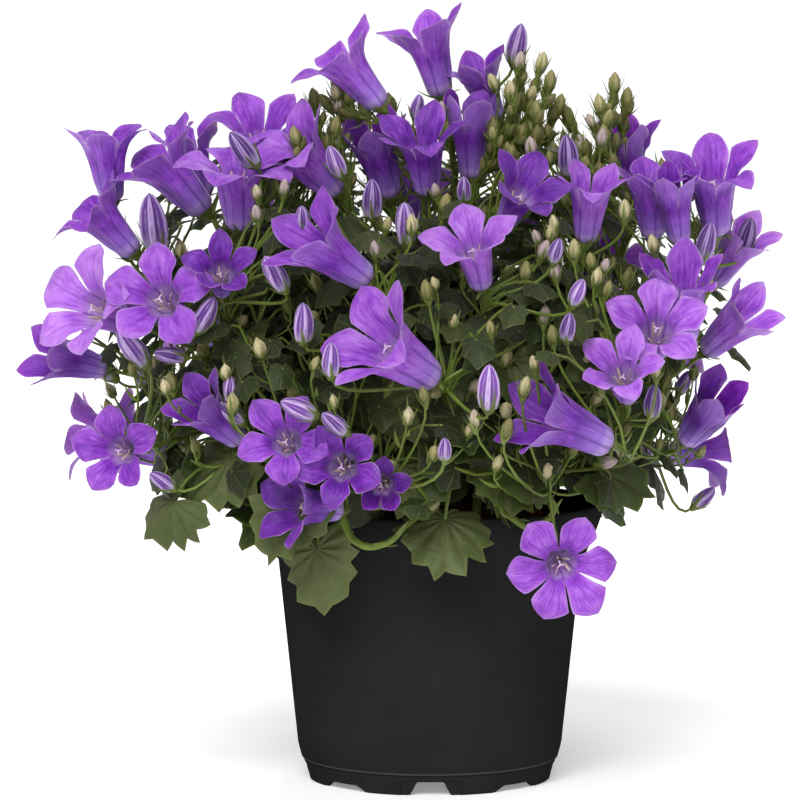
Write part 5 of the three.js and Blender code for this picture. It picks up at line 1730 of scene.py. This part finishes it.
def filler_leaf(index, corners, share, turn, length, centres, room):
    """A smaller leaf on its own thin stalk, in the turn that keeps it clearest of the bells. There is none
    where it would touch a bell, leave the cushion or hang over the bare part of the rim."""
    start, tangent = place_and_way(corners, share)
    outward = unit(start - CROWN + np.array([0, 0, 8.0]))
    best = (None, -math.inf)
    for i in range(FILLER_TURNS):
        side = beside(tangent, turn + 360 * i / FILLER_TURNS)
        reach = unit(side + 0.45 * outward + 0.25 * tangent)
        face = outward + 0.5 * UP
        face = unit(face - reach * (face @ reach))
        axes = np.array([reach, np.cross(face, reach), face])
        base = start + unit(side + 0.5 * tangent) * FILLER_STALK
        probes = base + length * np.array([(0.2, 0, 0), (0.5, 0.3, 0), (0.5, -0.3, 0), (0.9, 0, 0)]) @ axes
        clear = clearance(probes, centres, room)
        if clear > best[1]:
            stalk = (start, start + side * 3 + tangent * 3, base - reach * 3, base + reach * 0.1 * length)
            best = (Leaf(index, base, axes, length, stalk), clear)
    tip = best[0].base + best[0].frame[0] * length
    inside = np.linalg.norm((tip - CUSHION_CENTRE) / CUSHION_HALF) < FILLER_INSIDE
    hanging = tip[2] < POT_HEIGHT + 2 and tip[0] > BARE_RIM_FROM and tip[1] < 0
    return best[0] if best[1] > FILLER_CLEARANCE and inside and not hanging else None


def undergrowth_leaf(place, outward, length, centres, room, rows):
    """A small leaf at a place within the cushion, on a thin stalk from the nearest stem below."""
    toward = outward * np.array([1, 1, 0.3]) + rng.normal(0, 0.55, 3)
    face = unit(outward + 0.7 * UP + rng.normal(0, 0.3, 3))
    reach = unit(toward - face * (toward @ face))
    axes = np.array([reach, np.cross(face, reach), face])
    probes = place + length * np.array([(0, 0, 0), (0.5, 0.3, 0), (0.5, -0.3, 0), (1, 0, 0)]) @ axes
    clear = clearance(probes, centres, room)
    over_pot = math.hypot(place[0], place[1]) > 40 and probes[:, 2].min() < POT_HEIGHT + 3
    if clear < LOW_CLEARANCE or over_pot or probes[:, 2].min() < SOIL_LEVEL + 4:
        return None
    start, _, owner = joint_below(place, rows)
    gap = np.linalg.norm(place - start)
    if gap > LOW_STALK_LONGEST:
        return None
    stalk = (start, start + UP * 0.3 * gap, place - reach * 0.35 * gap, place + reach * 0.1 * length)
    return Leaf(owner, place, axes, length, stalk)


def undergrowth(centres, room, rows):
    """Leaves in nested shells of the cushion, spaced by the golden angle. The outer shells are only its
    upper part."""
    made = []
    for shell, count, lowest, longest in UNDERGROWTH:
        for i in range(count):
            turn = i * GOLDEN_ANGLE + 10 * shell
            rise = math.asin(lowest + (SHELL_TOP - lowest) * (i + 0.5) / count)
            outward = heading(turn, rise)
            place = CUSHION_CENTRE + CUSHION_HALF * outward * shell * rng.uniform(0.93, 1.07)
            length = rng.uniform(SHORTEST_LOW_LEAF, longest)
            made.append(undergrowth_leaf(place, outward, length, centres, room, rows))
    return [leaf for leaf in made if leaf is not None]


def shoot_buds(centres, room):
    """Small buds near the cushion's surface, spaced by the golden angle."""
    made = []
    for i in range(SHOOT_COUNT):
        turn = i * GOLDEN_ANGLE + 2
        rise = math.asin(SHOOT_LOWEST + SHOOT_HEIGHTS * (i + 0.5) / SHOOT_COUNT)
        outward = heading(turn, rise)
        place = CUSHION_CENTRE + CUSHION_HALF * outward * rng.uniform(0.75, 1.0 + 0.2 * math.sin(rise))
        axis = unit(outward * 0.5 + UP + rng.normal(0, 0.3, 3))
        if clearance(place + axis * 3, centres, room) > 2:
            made.append(Bud(place, axis, rng.uniform(5, 8)))
    return made


def tuft_buds(centres, room):
    """Upright buds over the top of the cushion, spaced by the golden angle under a rounded mound."""
    made = []
    for i in range(TUFT_COUNT):
        share = math.sqrt((i + 0.5) / TUFT_COUNT)
        turn = i * GOLDEN_ANGLE
        level = math.sqrt(1 - share * share) * rng.uniform(0.65, 1.05)
        place = TUFT_MIDDLE + TUFT_HALF * np.array([share * math.cos(turn), share * math.sin(turn), level])
        axis = unit(UP + rng.normal(0, 0.18, 3))
        if clearance(place + axis * 3, centres, room) > 1.5:
            made.append(Bud(place, axis, rng.uniform(5, 8)))
    return made


def dress(path, index, first, turn):
    """Narrow leaves beside a stalk, from one of its points on."""
    for k in range(first, len(path) - 1):
        tangent = unit(path[k + 1] - path[k])
        out = beside(tangent, turn + SPIRAL_TURN * k)
        green_pieces[index].add([bract(path[k], out, tangent, rng.uniform(4, 8))], rng.uniform(0.0, 0.5))


centres, room = bloom_samples()
fillers = []
for index, stem in enumerate(stems):
    for i, share in enumerate(STEM_SHARES):
        turn, length = SPIRAL_TURN * i, rng.uniform(17, 27)
        fillers.append(filler_leaf(index, stem.corners, share, turn, length, centres, room))
for i, stalk in enumerate(stalks):
    for share in STALK_FILLER_SHARES:
        turn, length = SPIRAL_TURN * i, rng.uniform(14, 23)
        fillers.append(filler_leaf(stalk.stem, stalk.corners, share, turn, length, centres, room))
fillers = [leaf for leaf in fillers if leaf is not None]
rows = stem_rows()
low_leaves = undergrowth(centres, room, rows)
shoots = shoot_buds(centres, room)
tufts = tuft_buds(centres, room)

stem_pieces = [Piece() for stem in stems]
leaf_pieces = [Piece() for stem in stems]
young_pieces = [Piece() for stem in stems]
bud_pieces = [Piece() for stem in stems]
green_pieces = [Piece() for stem in stems]

for stem, piece in zip(stems, stem_pieces):
    below = stem.foot - UP * np.array([[STEM_FOOT_DEPTH], [4]])
    path = np.concatenate([below, run(stem.corners, MAIN_STEM_STEPS)])
    radii = np.linspace(MAIN_STEM_RADIUS, MAIN_STEM_TOP_RADIUS, len(path))
    piece.add([tube(path, radii, 9)], rng.uniform(0.2, 0.5))

for bloom, stalk in zip(blooms, stalks):
    path = run(stalk.corners, STALK_STEPS)
    radii = np.linspace(1.05, 0.8, STALK_STEPS) * BLOOM_STEM_RADIUS
    stem_pieces[stalk.stem].add([tube(path, radii, 7)], rng.uniform(0.3, 0.9))
    green_pieces[stalk.stem].add(calyx(bloom, rng), rng.uniform(0.1, 0.6))

for stalk in spire_stalks + leaf_stalks:
    path = run(stalk.corners, STALK_STEPS)
    radii = np.linspace(0.95, 0.65, STALK_STEPS)
    stem_pieces[stalk.stem].add([tube(path, radii, 6)], rng.uniform(0.5, 1.0))


def hang(bud, radius, start, way, index):
    """The stalk of a bud, from its joint on a stem to the bud's foot."""
    reach = np.linalg.norm(bud.base - start)
    corners = (start, start + way * 0.3 * reach, bud.base - bud.axis * min(0.42 * reach, 11), bud.base)
    path = run(corners, BUD_STALK_STEPS)
    radii = np.linspace(1.1, 0.85, BUD_STALK_STEPS) * radius
    sides = 5 if radius > THIN_STEM_RADIUS else 4
    stem_pieces[index].add([tube(path, radii, sides)], rng.uniform(0.4, 1.0))
    return path


def set_bud(bud, index, tones, sepal_share, cup_tones):
    """A small green bud and its cup, each of a tone drawn between two."""
    young_pieces[index].add([green_bud(bud)], rng.uniform(*tones))
    green_pieces[index].add(bud_cup(bud, rng, sepal_share), rng.uniform(*cup_tones))


for bud in buds:
    stalk, share = nearest_joint(bud, stalks)
    start, way = place_and_way(stalk.corners, share, 0.05)
    hang(bud, BUD_STEM_RADIUS, start, way, stalk.stem)
    bud_pieces[stalk.stem].add([striped_bud(bud, rng)], rng.uniform(0, 1))
    green_pieces[stalk.stem].add(bud_cup(bud, rng, 0.5), rng.uniform(0.2, 0.8))

for bud in leaning_buds(GREEN_BUDS):
    start, way, index = joint_below(bud.base, rows)
    hang(bud, GREEN_BUD_STEM_RADIUS, start, way, index)
    small_buds.append((index, bud))

for i, bud in enumerate(shoots + tufts):
    first, palest = (6, 0.8) if i < len(shoots) else (2, 0.3)
    start, way, index = joint_below(bud.base, rows)
    dress(hang(bud, THIN_STEM_RADIUS, start, way, index), index, first, SPIRAL_TURN * i)
    young_pieces[index].add([closed_bud(bud)], rng.uniform(0.0, palest))
    star = spikes(bud, rng, 0.2, 0.55, 0.02, rng.uniform(0.5, 1.1), 0.1)
    green_pieces[index].add([star], rng.uniform(0.3, 0.9))

for index, bud in small_buds:
    set_bud(bud, index, (0.2, 1.0), 0.8, (0.3, 0.9))

for i, stalk in enumerate(stalks + spire_stalks):
    for j, share in enumerate(STEM_SHARES):
        place, tangent = place_and_way(stalk.corners, share)
        out = beside(tangent, SPIRAL_TURN * (i + j))
        green_pieces[stalk.stem].add([bract(place, out, tangent, rng.uniform(5, 9))], rng.uniform(0.0, 0.4))

for stalk in spire_stalks:
    for j in range(FINE_SPIRE_BUDS):
        place, tangent = place_and_way(stalk.corners, FINE_SPIRE_FROM + FINE_SPIRE_STEP * j)
        out = beside(tangent, SPIRAL_TURN * j)
        axis = unit(out * 0.7 + tangent + 0.5 * UP)
        bud = Bud(place + axis * rng.uniform(1, 3), axis, rng.uniform(4.5, 7.5))
        hang(bud, THIN_STEM_RADIUS, place, axis, stalk.stem)
        set_bud(bud, stalk.stem, (-0.05, 0.3), 0.9, (0.0, 0.5))
        narrow = bract(place, out, tangent, rng.uniform(6, 10))
        green_pieces[stalk.stem].add([narrow], rng.uniform(0.0, 0.5))

for i, (x, y, z, lean) in enumerate(SPRAYS):
    top = Bud(np.array([x, y, z], float), leaning(lean, SPIRE_LEAN_FORWARD), SPIRE_BUD_LENGTH)
    start, way, index = joint_below(top.base, rows)
    path = hang(top, BUD_STEM_RADIUS, start, way, index)
    dress(path, index, 2, SPIRAL_TURN * i)
    set_bud(top, index, (0.1, 0.5), 0.9, (0.0, 0.5))
    for j in range(SPRAY_BUDS):
        share = SPRAY_FROM + SPRAY_STEP * j
        place = point_on(path, share)
        tangent = direction_on(path, share)
        axis = unit(beside(tangent, SPIRAL_TURN * (i + j)) * 0.6 + tangent + 0.5 * UP)
        bud = Bud(place + axis * rng.uniform(0.5, 2), axis, rng.uniform(4.5, 7.5))
        set_bud(bud, index, (-0.05, 0.25), 0.9, (0.0, 0.5))

for corners in RIM_SHOOTS:
    path = curve_through(np.array(corners, float), 6)
    start, _, index = joint_below(path[0], rows)
    low_corners = (start, start + UP * 8, path[0] + (path[0] - path[3]), path[0])
    path = np.concatenate([run(low_corners, 8)[:-1], path])
    stem_pieces[index].add([tube(path, np.linspace(1.6, 0.9, len(path)), 8)], 1.0)
    for j, k in enumerate(range(len(path) - 3, 11, -4)):
        tangent = unit(path[k + 1] - path[k])
        out = beside(tangent, SPIRAL_TURN * j)
        green_pieces[index].add([bract(path[k], out, tangent, rng.uniform(5, 8))], rng.uniform(0.2, 0.6))
    tip = Bud(path[-1], unit(path[-1] - path[-2]), SPIRE_BUD_LENGTH)
    young_pieces[index].add([green_bud(tip)], 0.7)
    green_pieces[index].add(bud_cup(tip, rng, 0.8), 0.4)

for leaf in leaves:
    leaf.length *= LARGE_BLADE_SHARE
    leaf_pieces[leaf.stem].add([leaf_blade(leaf, rng, 13, 6, 8, 0.2)], rng.uniform(0.5, 0.9))
for leaf in fillers:
    leaf_pieces[leaf.stem].add([leaf_blade(leaf, rng, 9, 5, 5)], rng.uniform(0.1, 0.6))
    path = run(leaf.stalk, FILLER_STALK_STEPS)
    radii = np.linspace(0.7, 0.55, FILLER_STALK_STEPS)
    stem_pieces[leaf.stem].add([tube(path, radii, 5)], rng.uniform(0.3, 0.9))

for leaf in low_leaves:
    leaf_pieces[leaf.stem].add([small_blade(leaf)], rng.uniform(0.0, 0.5))
    path = run(leaf.stalk, LOW_STALK_STEPS)
    radii = np.linspace(0.6, 0.45, LOW_STALK_STEPS)
    stem_pieces[leaf.stem].add([tube(path, radii, 4)], rng.uniform(0.2, 0.8))

stalk_green = green_material("green_stalk", screen(44, 58, 16), screen(108, 126, 46), screen(90, 72, 40))
cup_green = green_material("green_cup", screen(50, 66, 20), screen(124, 140, 64), screen(86, 66, 46))
kinds = (
    ("stalks_", stem_pieces, stalk_green, "foliage"),
    ("leaves_", leaf_pieces, leaf_material(), "foliage"),
    ("young_buds_", young_pieces, young_material(), "foliage"),
    ("green_cups_", green_pieces, cup_green, "foliage"),
    ("striped_buds_", bud_pieces, bud_material(), "buds"),
)

for index in range(len(stems)):
    number = f"{index + 1:02d}"
    for title, pieces, material, slot in kinds:
        if pieces[index].count:
            pieces[index].make(title + number, material, slot, ["leafy_stem_" + number])


def nearest_nodes():
    """The solid of each bloom: the one whose corners lie nearest to the bloom's foot."""
    corners = {}
    for name, node in frame["nodes"].items():
        if name.startswith("bloom_"):
            co = np.zeros(3 * len(node.data.vertices), np.float32)
            node.data.vertices.foreach_get("co", co)
            corners[name] = co.reshape(-1, 3) / METRE
    found = []
    for bloom in blooms:
        axes = frame_along(bloom.axis, bloom.petal_angle)
        angles = 2 * math.pi * np.arange(bloom.petals) / bloom.petals
        rise = np.full(bloom.petals, SOLID_FOOT_RISE / SOLID_FOOT_RADIUS)
        ring = np.stack([np.cos(angles), np.sin(angles), rise], -1)
        probes = ring * SOLID_FOOT_RADIUS * bloom.size @ axes + bloom.base
        far = {}
        for name, co in corners.items():
            far[name] = np.linalg.norm(co[:, None] - probes[None], axis=-1).min(0).sum()
        found.append(min(far, key=far.get))
    return found


petal = petal_material()
bell_pieces = {}
pistils = Piece()
for index, (bloom, name) in enumerate(zip(blooms, nearest_nodes())):
    piece = bell_pieces.setdefault(name, Piece())
    own = np.random.default_rng([SEED, index])
    piece.add([bell(bloom, own)], bloom.tone)
    parts = pistil(bloom, own)
    pistils.add(parts[:4], 1.0)
    pistils.add(parts[4:], 0.0)
for name, piece in sorted(bell_pieces.items()):
    piece.make(name.replace("bloom_", "bells_"), petal, "petals", [name])
pistils.make("pistils", pistil_material(), "pistils", [])

# Pot and soil

pot = Piece()
pot.add([pot_body()])
pot_object = pot.make("nursery_pot", pot_material(), "pot", ["pot"], sharp=28)
drains = Piece()
for i in range(DRAIN_COUNT):
    turn = 2 * math.pi * i / DRAIN_COUNT
    centre = np.array([DRAIN_RING * math.cos(turn), DRAIN_RING * math.sin(turn), 0])
    drains.add([tube(centre + UP * np.array([[2.0], [4.0], [8.0], [10.0]]), DRAIN_RADIUS, 20)])
cutter = new_object("drains", drains.mesh("drains", sharp=30))
cut = pot_object.modifiers.new("drains", "BOOLEAN")
cut.object = cutter
cut.solver = "EXACT"
bpy.context.view_layer.objects.active = pot_object
bpy.ops.object.modifier_apply(modifier=cut.name)
bpy.data.objects.remove(cutter)

soil = Piece()
soil.add([soil_body()])
peat = soil_material()
soil.make("peat_soil", peat, "soil", ["soil"], sharp=40)
loose = Piece()
loose.add([crumbs(CRUMB_COUNT, rng)])
loose.make("peat_crumbs", peat, "soil", [], sharp=180)

# Floor, light and background, with places in metres

LIT_POINT = (0, 0.001, 0.13)
SUN_PLACE = (-0.45, -2.0, 1.9)
SUN_POWER = 2.75
SUN_SPREAD = 34
LAMPS = (
    ("front", (0.1, -2.4, 0.5), 0.7, 9),
    ("top", (0.0, 0.1, 1.9), 1.6, 8),
    ("back", (0.6, 1.9, 1.2), 1.4, 14),
)
SKY_LIGHT = 0.3
SKY_SEEN = 1.05

bpy.ops.mesh.primitive_circle_add(vertices=96, radius=45, fill_type="TRIFAN")
floor = bpy.context.object
floor.name = "floor"
floor.data.materials.append(floor_material())

sun = bpy.data.lights.new("key", "SUN")
sun.energy = SUN_POWER
sun.angle = math.radians(SUN_SPREAD)
aim(new_object("key", sun), SUN_PLACE, LIT_POINT)
for name, place, size, power in LAMPS:
    lamp = bpy.data.lights.new(name, "AREA")
    lamp.shape = "DISK"
    lamp.size = size
    lamp.energy = power
    aim(new_object(name, lamp), place, LIT_POINT)

world = bpy.data.worlds.new("white")
world.use_nodes = True
sky = Nodes(world.node_tree)
soft = world.node_tree.nodes["Background"]
soft.inputs[0].default_value = (1, 1, 1, 1)
soft.inputs[1].default_value = SKY_LIGHT
seen = sky.add("ShaderNodeBackground", {0: (1, 1, 1, 1), 1: SKY_SEEN})
straight = sky.add("ShaderNodeLightPath").outputs["Is Camera Ray"]
either = sky.add("ShaderNodeMixShader", {0: straight, 1: soft.outputs[0], 2: seen.outputs[0]})
world.node_tree.links.new(either.outputs[0], world.node_tree.nodes["World Output"].inputs[0])
bpy.context.scene.world = world
bpy.context.scene.view_settings.view_transform = "Standard"
